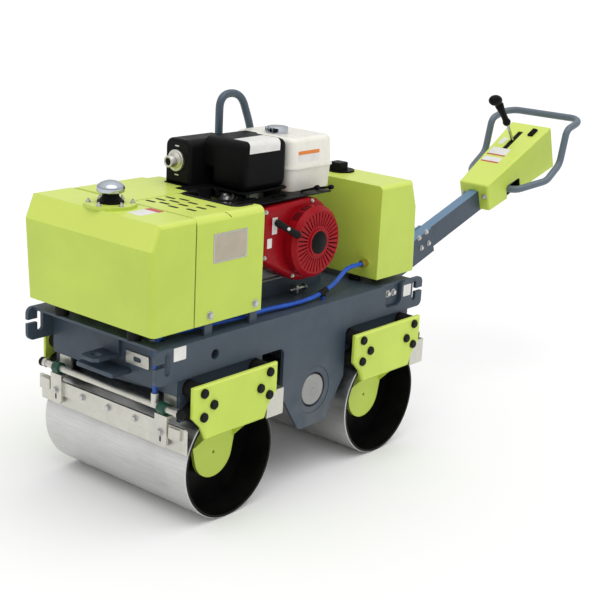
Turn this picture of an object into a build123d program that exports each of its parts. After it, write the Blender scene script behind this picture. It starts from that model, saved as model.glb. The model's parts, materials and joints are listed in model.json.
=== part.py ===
"""Walk-behind tandem road roller: two smooth drums, a twin-plate frame, a petrol engine and a drawbar.

Millimetres. +X is forward, +Y is the machine's left and +Z is up. Stations along the machine are
counted from the middle of the wheelbase, and mid_x moves them so that the origin lies under the middle
of the whole machine, on the ground.
"""
import os
from math import acos, cos, radians, sin

from build123d import *

# Drums and wheelbase
wheelbase = 700.0
drum_dia = 355.0
drum_width = 600.0
drum_shell = 10.0
rim_chamfer = 2.0
web_inset = 100.0
web_thick = 8.0
hub_dia = 110.0
hub_length = 36.0

# Stub axles in the hangers
axle_dia = 50.0
axle_fit = 0.05
axle_flange_dia = 84.0
axle_flange_thick = 6.0

# Drum carriers: support plate outside the drum, hanger inside its open end
plate_gap = 6.0
plate_thick = 14.0
plate_bevel = 5.0
plate_half = 170.0
plate_top = 433.0
plate_shoulder = 345.0
plate_waist_half = 137.0
plate_waist = 312.0
plate_foot_half = 120.0
plate_foot = 272.0
hanger_inset = 65.0
hanger_thick = 12.0
hanger_round = 76.0
hanger_half = 100.0
shelf_top = 292.0
shelf_thick = 12.0
shelf_half = 88.0
gusset_thick = 8.0
gusset_drop = 84.0
hanger_hole_dia = 10.0

# Rubber buffers between carriers and frame: places from the drum axle
buffer_dia = 50.0
buffer_length = 46.0
buffer_spots = [(133.0, 412.0), (133.0, 343.0), (95.0, 371.0)]
cap_dia = 27.0
cap_height = 9.0
cap_round = 3.0

# Side plates of the frame: reaches are counted outwards from the nearer axle
side_thick = 12.0
side_top = 546.0
side_bottom = 446.0
side_front_reach = 270.0
side_rear_reach = 234.0
corner_round = 20.0
pendant_front_gap = 90.0
pendant_rear_gap = 4.0
pendant_shoulder = 292.0
pendant_foot_half = 62.0
pendant_foot = 165.0
notch_front_reach = 35.0
notch_rear_reach = 120.0
notch_bottom = 470.0
hook_mouth = 12.0
hook_level = 503.0
hook_depth = 54.0
hook_slot_width = 20.0
hook_slot_height = 66.0
side_hole_dia = 30.0
side_hole_reach = 45.0
side_hole_z = 492.0

# Exciter across the frame
exciter_z = 280.0
exciter_seat_dia = 150.0
exciter_seat_gap = 0.3
exciter_dia = 120.0
exciter_recess = 1.5
exciter_flange_thick = 24.0
exciter_pocket_dia = 110.0
exciter_pocket_depth = 18.0
exciter_cap_dia = 104.0
exciter_cap_thick = 5.0

# Sub-frames over the drums
arch_clear = 16.0
buffer_plate_thick = 12.0
buffer_plate_half = 165.0
buffer_plate_top = 470.0
buffer_plate_foot = 318.0
cross_thick = 12.0
cross_bottom = 395.0
tie_top = 391.0
tie_thick = 10.0
tie_back_half = 90.0
tie_tip = 175.0
tie_wing = 140.0
tow_hole_dia = 30.0
tow_half = 35.0
tow_reach = 50.0
tow_corner = 14.0
tow_thick = 10.0
tow_level = 465.0

# Deck and what stands on it
deck_thick = 8.0
deck_front_reach = 250.0
tab_width = 30.0
tab_thick = 8.0
tab_top = 628.0
cover_bolt_insets = (26.0, 58.0)
hose_hole_dia = 46.0
foot_dia = 40.0
foot_inset = 110.0
front_feet_reach = (150.0, 235.0)
rear_feet_reach = (25.0, 140.0)

# Tanks and engine cover, as wide as the frame between its side plates
body_round = 14.0
front_tank_bottom = 580.0
front_tank_rear_reach = 120.0
front_tank_toe_reach = 269.0
front_tank_fold_reach = 282.0
front_tank_fold_z = 815.0
front_tank_brow_reach = 253.0
front_tank_top = 882.0
panel_gap = 4.0
cover_rear = 200.0
cover_wall = 4.0
cover_round = 22.0
cover_notch_length = 78.0
cover_notch_margin = 38.0
cover_notch_round = 24.0
cover_notch_depth = 60.0
vent_length = 34.0
vent_width = 9.0
vent_rows = (24.0, 66.0, 114.0, 172.0)
vent_pitch = 38.0
vent_inset = 52.0
vent_columns = 3
rear_tank_bottom = 570.0
rear_tank_front_reach = -5.0
rear_tank_toe_reach = 199.0
rear_tank_fold_reach = 190.0
rear_tank_fold_z = 784.0
rear_tank_brow_reach = 161.0
rear_tank_top = 870.0
flange_dia = 145.0
flange_height = 9.0
flange_reach = 190.0
breather_dia = 78.0
breather_height = 72.0
breather_neck_dia = 58.0
breather_base = 8.0
breather_skirt = 34.0
breather_lip = 12.0
filler_reach = 98.0
filler_y = 10.0
filler_dia = 88.0
filler_base = 6.0
filler_block = 46.0
filler_height = 32.0
filler_shift = 14.0
filler_round = 5.0

# Engine, its crankshaft lying across the machine
engine_base = 595.0
crank_x = -76.0
crank_z = 730.0
rail_y = 85.0
rail_width = 46.0
rail_rear = -250.0
rail_front = 150.0
case_rear = -190.0
case_front = 50.0
case_right = -90.0
case_left = 100.0
case_top = 790.0
case_round = 16.0
foot_flange = 6.0
foot_flange_reach = 24.0
shaft_dia = 25.0
cylinder_tilt = 25.0
cylinder_half = 50.0
fin_half = 55.0
fin_count = 9
fin_thick = 4.0
cylinder_start = 84.0
cylinder_end = 226.0
fan_dia = 256.0
fan_depth = 88.0
fan_snout_front = 125.0
fan_snout_low = 690.0
fan_snout_high = 850.0
recoil_dia = 218.0
recoil_depth = 45.0
recoil_dish = 12.0
recoil_slots = 36
recoil_slot_width = 4.0
recoil_slot_depth = 6.0
recoil_slot_inner = 50.0
recoil_slot_outer = 92.0
emblem_dia = 84.0
emblem_depth = 4.0
rope_boss_dia = 16.0
rope_boss_reach = 112.0
rope_boss_angle = 24.0
rope_boss_y = 220.0
grip_dia = 17.0
grip_length = 90.0
grip_round = 5.0
grip_lean = (-68.0, 52.0, -50.0)
grip_stem_dia = 9.0
grip_stem_length = 18.0
fuel_bottom = 862.0
fuel_seam = 930.0
fuel_top = 1022.0
fuel_rear = -272.0
fuel_front = -68.0
fuel_right = -130.0
fuel_left = 120.0
fuel_round = 30.0
fuel_taper = 4.0
fuel_crown = 16.0
fuel_seam_lip = 5.0
fuel_seam_thick = 5.0
fuel_cap_x = -135.0
fuel_cap_dia = 66.0
fuel_cap_height = 20.0
fuel_bracket_thick = 12.0
fuel_bracket_half = 60.0
fuel_bracket_inset = 24.0
tray_bottom = 878.0
tray_thick = 6.0
air_rear = -56.0
air_front = 132.0
air_right = -44.0
air_left = 114.0
air_top = 1030.0
air_round = 22.0
air_crown = 12.0
recess_left = -9.0
recess_top = 938.0
recess_depth = 70.0
intake_width = 38.0
intake_length = 50.0
muffler_rear = 20.0
muffler_front = 190.0
muffler_right = -154.0
muffler_left = -50.0
muffler_top = 1018.0
muffler_round = 26.0
muffler_edge = 10.0
outlet_dia = 62.0
outlet_thick = 8.0
outlet_y = -104.0
outlet_z = 954.0
spout_dia = 34.0
spout_length = 36.0
guard_rear = -150.0
guard_front = 60.0
guard_right = -250.0
guard_left = -172.0
guard_top = 830.0
guard_round = 70.0

# Lifting hoop behind the engine
hoop_dia = 26.0
hoop_y = -150.0
hoop_front = -40.0
hoop_rear = -174.0
hoop_top = 1128.0
hoop_shoulder_drop = 143.0
hoop_crown = 58.0
hoop_round = 36.0

# Scrapers: an upright blade in front, leaning ones on the carriers' edges, and the arms
blade_gap = 8.0
blade_thick = 6.0
blade_top = 311.0
blade_bottom = 240.0
blade_overhang = 6.0
holder_thick = 8.0
holder_top = 317.0
holder_bottom = 274.0
arm_thick = 8.0
arm_width = 48.0
arm_foot = 248.0
arm_round = 14.0
arm_top = 430.0
end_plate_length = 37.0
end_plate_thick = 6.0
end_plate_foot = 265.0
lean_angle = 30.0
lean_clear = 8.0
lean_depth = 12.0

# Sprinkler pipes and their clamps
pipe_dia = 20.0
pipe_reach = 190.0
pipe_z = 357.0
pipe_inset = 15.0
plug_dia = 26.0
plug_length = 12.0
clamp_inset = 26.0
clamp_width = 26.0
clamp_wall = 7.0
clamp_fit = 0.3

# Water hose from the rear tank to the front sprinkler pipe
hose_dia = 14.0
fitting_dia = 24.0
fitting_length = 26.0
fitting_inset = 46.0
fitting_z = 618.0
hose_drop_inset = 60.0
hose_sag = 3.0
hose_start_run = 95.0
hose_end_run = 90.0
hose_end_inset = 52.0
hose_dip = (-160.0, 28.0, 580.0)
hose_rests = [(-60.0, 22.0), (40.0, 26.0), (140.0, 34.0), (240.0, 36.0), (340.0, 38.0)]
tee_dia = 22.0
tee_top = 392.0

# Drawbar, in its own line: distance from the hinge pin and height over the bar's middle
pivot_reach = 260.0
pivot_z = 442.5
bar_tilt = 18.0
bar_height = 80.0
bar_width = 40.0
bar_wall = 4.0
bar_start = 110.0
bar_end = 1060.0
cheek_thick = 8.0
cheek_length = 395.0
cheek_low = 52.0
cheek_high = 42.0
pin_dia = 25.0
pin_fit = 0.05
pin_head_dia = 40.0
pin_head_thick = 8.0
boss_dia = 52.0
lug_gap = 2.0
lug_thick = 12.0
lug_round = 38.0
lug_top = 480.0
stop_dia = 20.0
stop_gap = 0.3
stop_reach = 35.0

# Control console on the drawbar
console_front = 715.0
console_rear = 1145.0
console_bottom = -34.0
console_front_top = 69.0
console_rear_top = 132.0
console_front_half = 63.0
console_rear_half = 90.0
console_wall = 4.0
console_round = 8.0
console_fit = 0.3
tube_opening_length = 89.0
tube_opening_top = 16.0
tube_opening_round = 12.0
lever_slot_front = 955.0
lever_slot_rear = 1085.0
lever_slot_width = 22.0
switch_t = 1086.0
switch_y = 40.0
switch_length = 46.0
switch_width = 22.0
switch_height = 6.0
switch_round = 3.0

# Handle loop, welded to the bar's sides: distance, side and height of its corners
handle_dia = 27.0
handle_start = 843.0
handle_half = 170.0
handle_rise = (1055.0, 25.0)
handle_shoulder = (1125.0, 140.0)
handle_back = (1245.0, 133.0)
handle_bends = (45.0, 60.0, 60.0, 40.0, 55.0)
handle_sweep = (102.0, 955.0)

# Drive lever: rod from its foot to the knee, then the grip with a broad head
lever_y = -12.0
lever_rod_dia = 12.0
lever_foot = 1012.0
lever_knee = (986.0, 206.0)
lever_tip = (915.0, 340.0)
lever_collar_dia = 30.0
lever_collar_length = 14.0
lever_grip_dia = 25.0
lever_grip_length = 90.0
lever_head_dia = 46.0
lever_head_bend = 26.0
lever_base_length = 60.0
lever_base_height = 18.0
lever_base_clear = 2.0

# Derived places
drum_r = drum_dia / 2
axle_z = drum_r
axles = {"front": wheelbase / 2, "rear": -wheelbase / 2}
outwards = {"front": 1, "rear": -1}
hands = {"left": 1, "right": -1}
plate_inner = drum_width / 2 + plate_gap
plate_outer = plate_inner + plate_thick
side_inner = plate_inner - buffer_length
side_outer = side_inner + side_thick
body_half = side_inner
hanger_outer = drum_width / 2 - hanger_inset
hanger_inner = hanger_outer - hanger_thick
web_outer = drum_width / 2 - web_inset
buffer_plate_inner = side_inner - buffer_plate_thick
deck_bottom = side_top - deck_thick
cross_near = wheelbase / 2 + buffer_plate_half
cross_far = cross_near + cross_thick
buffer_edge = max(reach for reach, height in buffer_spots) + buffer_dia / 2
pendant_front = axles["front"] - buffer_edge - pendant_front_gap
pendant_rear = axles["rear"] + buffer_edge + pendant_rear_gap
pendant_x = (pendant_front + pendant_rear) / 2
pendant_half = (pendant_front - pendant_rear) / 2
side_front = axles["front"] + side_front_reach
side_rear = side_rear_reach - axles["rear"]
notch_front = axles["rear"] - notch_front_reach
notch_rear = axles["rear"] - notch_rear_reach
side_hole_x = axles["front"] + side_hole_reach
deck_front = axles["front"] + deck_front_reach
front_tank_rear = axles["front"] + front_tank_rear_reach
front_tank_toe = axles["front"] + front_tank_toe_reach
front_tank_fold = axles["front"] + front_tank_fold_reach
front_tank_brow = axles["front"] + front_tank_brow_reach
flange_x = axles["front"] + flange_reach
front_feet = [axles["front"] + reach for reach in front_feet_reach]
cover_front = front_tank_rear - panel_gap
cover_bolt_stations = (cover_rear + cover_bolt_insets[0], cover_front - cover_bolt_insets[1])
cover_notch_front = cover_rear + cover_notch_length
vent_front = cover_front - vent_inset
rear_tank_front = axles["rear"] - rear_tank_front_reach
rear_tank_toe = axles["rear"] - rear_tank_toe_reach
rear_tank_fold = axles["rear"] - rear_tank_fold_reach
rear_tank_brow = axles["rear"] - rear_tank_brow_reach
filler_x = axles["rear"] - filler_reach
rear_feet = [axles["rear"] - reach for reach in rear_feet_reach]
foot_y = body_half - foot_inset
pivot_x = axles["rear"] - pivot_reach
front_pipe_x = axles["front"] + pipe_reach
pipe_half = drum_width / 2 - pipe_inset
clamp_y = buffer_plate_inner - clamp_inset
clamp_r = pipe_dia / 2 + clamp_fit + clamp_wall
arm_shelf = pipe_z - clamp_r
hose_drop_y = buffer_plate_inner - hose_drop_inset
fitting_y = body_half - fitting_inset
hoop_shoulder = hoop_top - hoop_shoulder_drop
bar_cos = cos(radians(bar_tilt))
bar_sin = sin(radians(bar_tilt))
handle_tail = pivot_x - bar_cos * handle_back[0] + bar_sin * handle_back[1] - handle_dia / 2
mid_x = -(front_tank_fold + handle_tail) / 2


def side(y):
    """Upright plane along the machine: station and height, facing the right."""
    return Plane((mid_x, y, 0), x_dir=(1, 0, 0), z_dir=(0, -1, 0))


def level(z):
    """Level plane: station and side."""
    return Plane((mid_x, 0, z))


def crosswise(x):
    """Upright plane across the machine: side and height, facing forward."""
    return Plane((mid_x + x, 0, 0), x_dir=(0, 1, 0), z_dir=(1, 0, 0))


def along_bar(y):
    """Upright plane in the drawbar's line: distance from the pin and height over its middle."""
    return Plane((mid_x + pivot_x, y, pivot_z), x_dir=(-bar_cos, 0, bar_sin), z_dir=(0, 1, 0))


def bar_point(t, y, n):
    """Point at a distance, side and height of the drawbar's line."""
    return Vector(mid_x + pivot_x - bar_cos * t + bar_sin * n, y, pivot_z + bar_sin * t + bar_cos * n)


def across_bar(t):
    """Plane square to the drawbar: side and height over its middle, facing its free end."""
    return Plane(bar_point(t, 0, 0), x_dir=(0, -1, 0), z_dir=(-bar_cos, 0, bar_sin))


def wall(sign, near, far):
    """Plane from which a plate on one side reaches towards the right, from near to far of the middle."""
    return side(max(sign * near, sign * far))


def block(xs, ys, zs, mode=Mode.ADD):
    """Box between two stations, two sides and two heights."""
    middle = (mid_x + sum(xs) / 2, sum(ys) / 2, sum(zs) / 2)
    with Locations(middle):
        Box(abs(xs[1] - xs[0]), abs(ys[1] - ys[0]), abs(zs[1] - zs[0]), mode=mode)


def dome_point(rim_r, brim, top):
    """Middle of the arc that rises from a rim to the top on the axis."""
    rise = top - brim
    dome_r = (rim_r ** 2 + rise ** 2) / (2 * rise)
    half = acos((dome_r - rise) / dome_r) / 2
    return (dome_r * sin(half), top - dome_r * (1 - cos(half)))


def save(builder, name):
    """Label a finished piece and write it."""
    builder.part.label = name
    export_step(builder.part, f"parts/{name}.step")


os.makedirs("parts", exist_ok=True)


# Drums: open shell, two webs and bored hubs
def make_drum(axle_x):
    centre = Axis((mid_x + axle_x, 0, axle_z), (0, 1, 0))
    profile = Plane((mid_x + axle_x, 0, axle_z), x_dir=(0, 1, 0), z_dir=(1, 0, 0))
    bore_r = axle_dia / 2 + axle_fit
    web_span = drum_r - drum_shell - bore_r
    hub_span = hub_dia / 2 - bore_r
    with BuildPart() as drum:
        with BuildSketch(profile):
            with Locations((0, drum_r - drum_shell / 2)):
                Rectangle(drum_width, drum_shell)
            for sign in hands.values():
                with Locations((sign * (web_outer - web_thick / 2), bore_r + web_span / 2)):
                    Rectangle(web_thick, web_span)
                with Locations((sign * (web_outer - web_thick / 2), bore_r + hub_span / 2)):
                    Rectangle(hub_length, hub_span)
        revolve(axis=centre)
        rims = [e for e in drum.edges().filter_by(GeomType.CIRCLE) if e.radius > drum_r - 0.01]
        chamfer(rims, rim_chamfer)
    return drum


for end, axle_x in axles.items():
    save(make_drum(axle_x), f"drum_{end}")


# Stub axles: flange on the inside of the hanger, shaft in the hub
def make_axles(axle_x):
    tip = web_outer - web_thick / 2 - hub_length / 2
    with BuildPart() as stubs:
        for sign in hands.values():
            with BuildSketch(wall(sign, hanger_inner, hanger_inner - axle_flange_thick)):
                with Locations((axle_x, axle_z)):
                    Circle(axle_flange_dia / 2)
            extrude(amount=axle_flange_thick)
            with BuildSketch(wall(sign, hanger_inner, tip)):
                with Locations((axle_x, axle_z)):
                    Circle(axle_dia / 2)
            extrude(amount=hanger_inner - tip)
    return stubs


for end, axle_x in axles.items():
    save(make_axles(axle_x), f"axles_{end}")


# Drum carriers: support plate, shelf, gussets and V-shaped hanger welded as one
def make_carrier(axle_x, sign):
    with BuildPart() as carrier:
        with BuildSketch(wall(sign, plate_inner, plate_outer)):
            with BuildLine():
                Polyline(
                    (axle_x, plate_top),
                    (axle_x + plate_half, plate_top),
                    (axle_x + plate_half, plate_shoulder),
                    (axle_x + plate_waist_half, plate_waist),
                    (axle_x + plate_foot_half, plate_foot),
                    (axle_x, plate_foot),
                )
                mirror(about=Plane.YZ.offset(axle_x))
            make_face()
        extrude(amount=plate_thick)
        rim = [e for e in carrier.edges() if abs(abs(e.center().Y) - plate_outer) < 0.01]
        chamfer(rim, plate_bevel)
        block(
            (axle_x - shelf_half, axle_x + shelf_half),
            (sign * hanger_inner, sign * plate_inner),
            (shelf_top - shelf_thick, shelf_top),
        )
        with BuildSketch(wall(sign, hanger_inner, hanger_outer)):
            with Locations((axle_x, axle_z)):
                Circle(hanger_round)
            with Locations((axle_x, shelf_top - shelf_thick / 2)):
                Rectangle(2 * hanger_half, shelf_thick)
            make_hull()
            with Locations((axle_x, axle_z)):
                Circle(hanger_hole_dia / 2, mode=Mode.SUBTRACT)
        extrude(amount=hanger_thick)
        for turn in (-1, 1):
            gusset_x = axle_x + turn * (shelf_half - gusset_thick) - gusset_thick / 2
            with BuildSketch(crosswise(gusset_x)):
                with BuildLine():
                    Polyline(
                        (sign * hanger_outer, shelf_top - shelf_thick),
                        (sign * plate_inner, shelf_top - shelf_thick),
                        (sign * hanger_outer, shelf_top - gusset_drop),
                        close=True,
                    )
                make_face()
            extrude(amount=gusset_thick)
    return carrier


for end, axle_x in axles.items():
    for hand, sign in hands.items():
        save(make_carrier(axle_x, sign), f"carrier_{end}_{hand}")


# Rubber buffers inside the support plates and the caps on their bolts outside
def buffer_places(axle_x):
    return [(axle_x + turn * dx, z) for dx, z in buffer_spots for turn in (-1, 1)]


def make_buffers(axle_x):
    with BuildPart() as buffers:
        for sign in hands.values():
            with BuildSketch(wall(sign, side_inner, plate_inner)):
                with Locations(*buffer_places(axle_x)):
                    Circle(buffer_dia / 2)
            extrude(amount=plate_inner - side_inner)
    return buffers


for end, axle_x in axles.items():
    save(make_buffers(axle_x), f"buffers_{end}")

with BuildPart() as buffer_caps:
    for axle_x in axles.values():
        for sign in hands.values():
            with BuildSketch(wall(sign, plate_outer, plate_outer + cap_height)):
                with Locations(*buffer_places(axle_x)):
                    Circle(cap_dia / 2)
            extrude(amount=cap_height)
    cap_rims = [e for e in buffer_caps.edges() if abs(abs(e.center().Y) - plate_outer - cap_height) < 0.01]
    chamfer(cap_rims, cap_round)
save(buffer_caps, "buffer_caps")


# Side plates: long arms with tie-down hooks and a pendant that holds the exciter
def make_side_plate(sign):
    with BuildPart() as plate:
        with BuildSketch(wall(sign, side_inner, side_outer)):
            with BuildLine():
                Polyline(
                    (side_front, side_top),
                    (side_front, side_bottom),
                    (pendant_x + pendant_half, side_bottom),
                    (pendant_x + pendant_half, pendant_shoulder),
                    (pendant_x + pendant_foot_half, pendant_foot),
                    (pendant_x - pendant_foot_half, pendant_foot),
                    (pendant_x - pendant_half, pendant_shoulder),
                    (pendant_x - pendant_half, side_bottom),
                    (-side_rear, side_bottom),
                    (-side_rear, side_top),
                    (notch_rear, side_top),
                    (notch_rear, notch_bottom),
                    (notch_front, notch_bottom),
                    (notch_front, side_top),
                    close=True,
                )
            outline = make_face()
            fillet(outline.vertices(), corner_round)
            with Locations((pendant_x, exciter_z)):
                Circle(exciter_seat_dia / 2, mode=Mode.SUBTRACT)
            with Locations((side_hole_x, side_hole_z)):
                Circle(side_hole_dia / 2, mode=Mode.SUBTRACT)
            for tip, inward in ((side_front, -1), (-side_rear, 1)):
                with Locations((tip + inward * hook_depth / 2, hook_level)):
                    Rectangle(hook_depth, hook_mouth, mode=Mode.SUBTRACT)
                with Locations((tip + inward * (hook_depth - hook_slot_width / 2), hook_level)):
                    SlotOverall(hook_slot_height, hook_slot_width, rotation=90, mode=Mode.SUBTRACT)
        extrude(amount=side_thick)
    return plate


for hand, sign in hands.items():
    save(make_side_plate(sign), f"side_plate_{hand}")

# Exciter housing between the pendants, with a flange let into each, and its bright end caps
exciter_axis = Axis((mid_x + pendant_x, 0, exciter_z), (0, 1, 0))
exciter_plane = Plane((mid_x + pendant_x, 0, exciter_z), x_dir=(0, 1, 0), z_dir=(1, 0, 0))
exciter_end = side_outer - exciter_recess
with BuildPart() as exciter_housing:
    with BuildSketch(exciter_plane):
        with Locations((0, exciter_dia / 4)):
            Rectangle(2 * exciter_end, exciter_dia / 2)
        flange_r = exciter_seat_dia / 2 - exciter_seat_gap
        for sign in hands.values():
            with Locations((sign * (exciter_end - exciter_flange_thick / 2), flange_r / 2)):
                Rectangle(exciter_flange_thick, flange_r)
            with Locations((sign * (exciter_end - exciter_pocket_depth / 2), exciter_pocket_dia / 4)):
                Rectangle(exciter_pocket_depth, exciter_pocket_dia / 2, mode=Mode.SUBTRACT)
    revolve(axis=exciter_axis)
save(exciter_housing, "exciter_housing")

cap_seat = exciter_end - exciter_pocket_depth
cap_face = cap_seat + exciter_cap_thick
with BuildPart() as exciter_caps:
    for sign in hands.values():
        with BuildSketch(wall(sign, cap_seat, cap_face)):
            with Locations((pendant_x, exciter_z)):
                Circle(exciter_cap_dia / 2)
        extrude(amount=exciter_cap_thick)
    chamfer([e for e in exciter_caps.edges() if abs(abs(e.center().Y) - cap_face) < 0.01], cap_round)
save(exciter_caps, "exciter_caps")


# Sub-frames: arched buffer plates, cross member and tie plate over each drum
def make_subframe(axle_x, outward):
    with BuildPart() as subframe:
        for sign in hands.values():
            with BuildSketch(wall(sign, buffer_plate_inner, side_inner)):
                with Locations((axle_x, (buffer_plate_foot + buffer_plate_top) / 2)):
                    Rectangle(2 * buffer_plate_half, buffer_plate_top - buffer_plate_foot)
                with Locations((axle_x, axle_z)):
                    Circle(drum_r + arch_clear, mode=Mode.SUBTRACT)
            extrude(amount=buffer_plate_thick)
        block(
            (outward * cross_near, outward * cross_far),
            (-side_inner, side_inner),
            (cross_bottom, deck_bottom),
        )
        with BuildSketch(level(tie_top - tie_thick)):
            with BuildLine():
                Polyline(
                    (axle_x - outward * tie_back_half, -buffer_plate_inner),
                    (axle_x + outward * tie_wing, -buffer_plate_inner),
                    (axle_x + outward * tie_tip, 0),
                    (axle_x + outward * tie_wing, buffer_plate_inner),
                    (axle_x - outward * tie_back_half, buffer_plate_inner),
                    close=True,
                )
            make_face()
        extrude(amount=tie_thick)
    return subframe


save(make_subframe(axles["front"], 1), "subframe_front")

# Rear sub-frame carries the drawbar's lugs and the bar that it rests on
lug_inner = bar_width / 2 + cheek_thick + lug_gap
stop_drop = cheek_low + stop_gap + stop_dia / 2
stop_point = bar_point(stop_reach, 0, -stop_drop)
stop_place = (stop_point.X - mid_x, stop_point.Z)
with BuildPart() as subframe_rear:
    add(make_subframe(axles["rear"], -1).part)
    for sign in hands.values():
        with BuildSketch(wall(sign, lug_inner, lug_inner + lug_thick)):
            with Locations((pivot_x, pivot_z)):
                Circle(lug_round)
            with Locations(stop_place):
                Circle(stop_dia)
            with Locations((-cross_far, (cross_bottom + lug_top) / 2)):
                Rectangle(cross_thick, lug_top - cross_bottom)
            make_hull()
            with Locations((pivot_x, pivot_z)):
                Circle(pin_dia / 2 + pin_fit, mode=Mode.SUBTRACT)
        extrude(amount=lug_thick)
    with BuildSketch(side(lug_inner)):
        with Locations(stop_place):
            Circle(stop_dia / 2)
    extrude(amount=2 * lug_inner)
save(subframe_rear, "subframe_rear")

# Tow lug on the front cross member
tow_front = cross_far + tow_thick + tow_reach
with BuildPart() as tow_lug:
    block((cross_far, cross_far + tow_thick), (-tow_half, tow_half), (tow_level - tow_thick, deck_bottom))
    with BuildSketch(level(tow_level - tow_thick)):
        tow_tip = tow_front + tow_half
        with Locations(((cross_far + tow_tip) / 2, 0)):
            tongue = Rectangle(tow_tip - cross_far, 2 * tow_half)
        chamfer(tongue.vertices().group_by(Axis.X)[-1], tow_corner)
        with Locations((tow_front, 0)):
            Circle(tow_hole_dia / 2, mode=Mode.SUBTRACT)
    extrude(amount=tow_thick)
save(tow_lug, "tow_lug")

# Deck with welded tabs for the engine cover and a hole for the hose
with BuildPart() as deck:
    block((-cross_far, deck_front), (-side_inner, side_inner), (deck_bottom, side_top))
    for station in cover_bolt_stations:
        for sign in hands.values():
            tab_out = body_half - cover_wall
            block(
                (station - tab_width / 2, station + tab_width / 2),
                (sign * (tab_out - tab_thick), sign * tab_out),
                (side_top, tab_top),
            )
    with BuildSketch(level(deck_bottom)):
        with Locations((front_pipe_x, hose_drop_y)):
            Circle(hose_hole_dia / 2)
    extrude(amount=deck_thick, mode=Mode.SUBTRACT)
save(deck, "deck")

with BuildPart() as tank_feet:
    for stations, seat in ((front_feet, front_tank_bottom), (rear_feet, rear_tank_bottom)):
        with BuildSketch(level(side_top)):
            with Locations(*[(x, sign * foot_y) for x in stations for sign in hands.values()]):
                Circle(foot_dia / 2)
        extrude(amount=seat - side_top)
save(tank_feet, "tank_feet")

# Front tank with its raised flange, and the bright breather cap on it
with BuildPart() as front_tank:
    with BuildSketch(side(body_half)):
        with BuildLine():
            Polyline(
                (front_tank_rear, front_tank_bottom),
                (front_tank_toe, front_tank_bottom),
                (front_tank_fold, front_tank_fold_z),
                (front_tank_brow, front_tank_top),
                (front_tank_rear, front_tank_top),
                close=True,
            )
        make_face()
    extrude(amount=2 * body_half)
    upper = [e for e in front_tank.edges() if e.center().Z > front_tank_bottom + 1]
    hip = [e for e in upper if abs(e.center().Y) > body_half - 1]
    fillet([e for e in hip if e.center().X > mid_x + front_tank_rear + 1], body_round)
    with BuildSketch(level(front_tank_top)):
        with Locations((flange_x, 0)):
            Circle(flange_dia / 2)
    extrude(amount=flange_height)
save(front_tank, "front_tank")

breather_seat = (mid_x + flange_x, 0, front_tank_top + flange_height)
breather_plane = Plane(breather_seat, x_dir=(1, 0, 0), z_dir=(0, -1, 0))
with BuildPart() as tank_breather:
    with BuildSketch(breather_plane):
        with BuildLine():
            neck_r = breather_neck_dia / 2
            cap_r = breather_dia / 2
            brim = breather_skirt + breather_lip
            Polyline(
                (0, breather_height),
                (0, 0),
                (cap_r, 0),
                (cap_r, breather_base),
                (neck_r, breather_base),
                (neck_r, breather_skirt),
                (cap_r, breather_skirt),
                (cap_r, brim),
            )
            ThreePointArc((cap_r, brim), dome_point(cap_r, brim, breather_height), (0, breather_height))
        make_face()
    revolve(axis=Axis(breather_seat, (0, 0, 1)))
save(tank_breather, "tank_breather")

# Engine cover: folded sheet, open below
with BuildPart() as engine_cover:
    with BuildSketch(crosswise(cover_rear)):
        with Locations((0, (front_tank_bottom + front_tank_top) / 2)):
            shell = Rectangle(2 * body_half, front_tank_top - front_tank_bottom)
        fillet(shell.vertices().group_by(Axis.Y)[-1], cover_round)
    extrude(amount=cover_front - cover_rear)
    with BuildSketch(crosswise(cover_rear + cover_wall)):
        with Locations((0, (front_tank_bottom + front_tank_top - 2 * cover_wall) / 2)):
            inside = Rectangle(2 * (body_half - cover_wall), front_tank_top - front_tank_bottom)
        fillet(inside.vertices().group_by(Axis.Y)[-1], cover_round - cover_wall)
    extrude(amount=cover_front - cover_rear - 2 * cover_wall, mode=Mode.SUBTRACT)
    with BuildSketch(level(front_tank_top)):
        with Locations(((cover_rear + cover_notch_front) / 2, 0)):
            notch = Rectangle(cover_notch_front - cover_rear, 2 * (body_half - cover_notch_margin))
        fillet(notch.vertices().group_by(Axis.X)[-1], cover_notch_round)
    extrude(amount=-cover_notch_depth, mode=Mode.SUBTRACT)
    with BuildSketch(level(front_tank_top)):
        for row, row_y in enumerate(vent_rows):
            stagger = (row % 2) * vent_pitch / 3
            for column in range(vent_columns):
                vent_x = vent_front - stagger - column * vent_pitch
                with Locations((vent_x, row_y), (vent_x, -row_y)):
                    SlotOverall(vent_length, vent_width, rotation=90)
    extrude(amount=-cover_wall, mode=Mode.SUBTRACT)
save(engine_cover, "engine_cover")

# Rear tank and its filler cap
with BuildPart() as rear_tank:
    with BuildSketch(side(body_half)):
        with BuildLine():
            Polyline(
                (rear_tank_front, rear_tank_bottom),
                (rear_tank_toe, rear_tank_bottom),
                (rear_tank_fold, rear_tank_fold_z),
                (rear_tank_brow, rear_tank_top),
                (rear_tank_front, rear_tank_top),
                close=True,
            )
        make_face()
    extrude(amount=2 * body_half)
    upper = [e for e in rear_tank.edges() if e.center().Z > rear_tank_bottom + 1]
    hip = [e for e in upper if abs(e.center().Y) > body_half - 1]
    fillet([e for e in hip if e.center().X < mid_x + rear_tank_front - 1], body_round)
save(rear_tank, "rear_tank")

# Filler cap: round base with a square lockable box on it
with BuildPart() as filler_cap:
    with BuildSketch(level(rear_tank_top)):
        with Locations((filler_x + filler_shift, filler_y)):
            RectangleRounded(filler_block, filler_block, filler_round)
    extrude(amount=filler_height)
    chamfer(filler_cap.edges().group_by(Axis.Z)[-1], cap_round)
    with BuildSketch(level(rear_tank_top)):
        with Locations((filler_x, filler_y)):
            Circle(filler_dia / 2)
    extrude(amount=filler_base)
save(filler_cap, "filler_cap")

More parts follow.
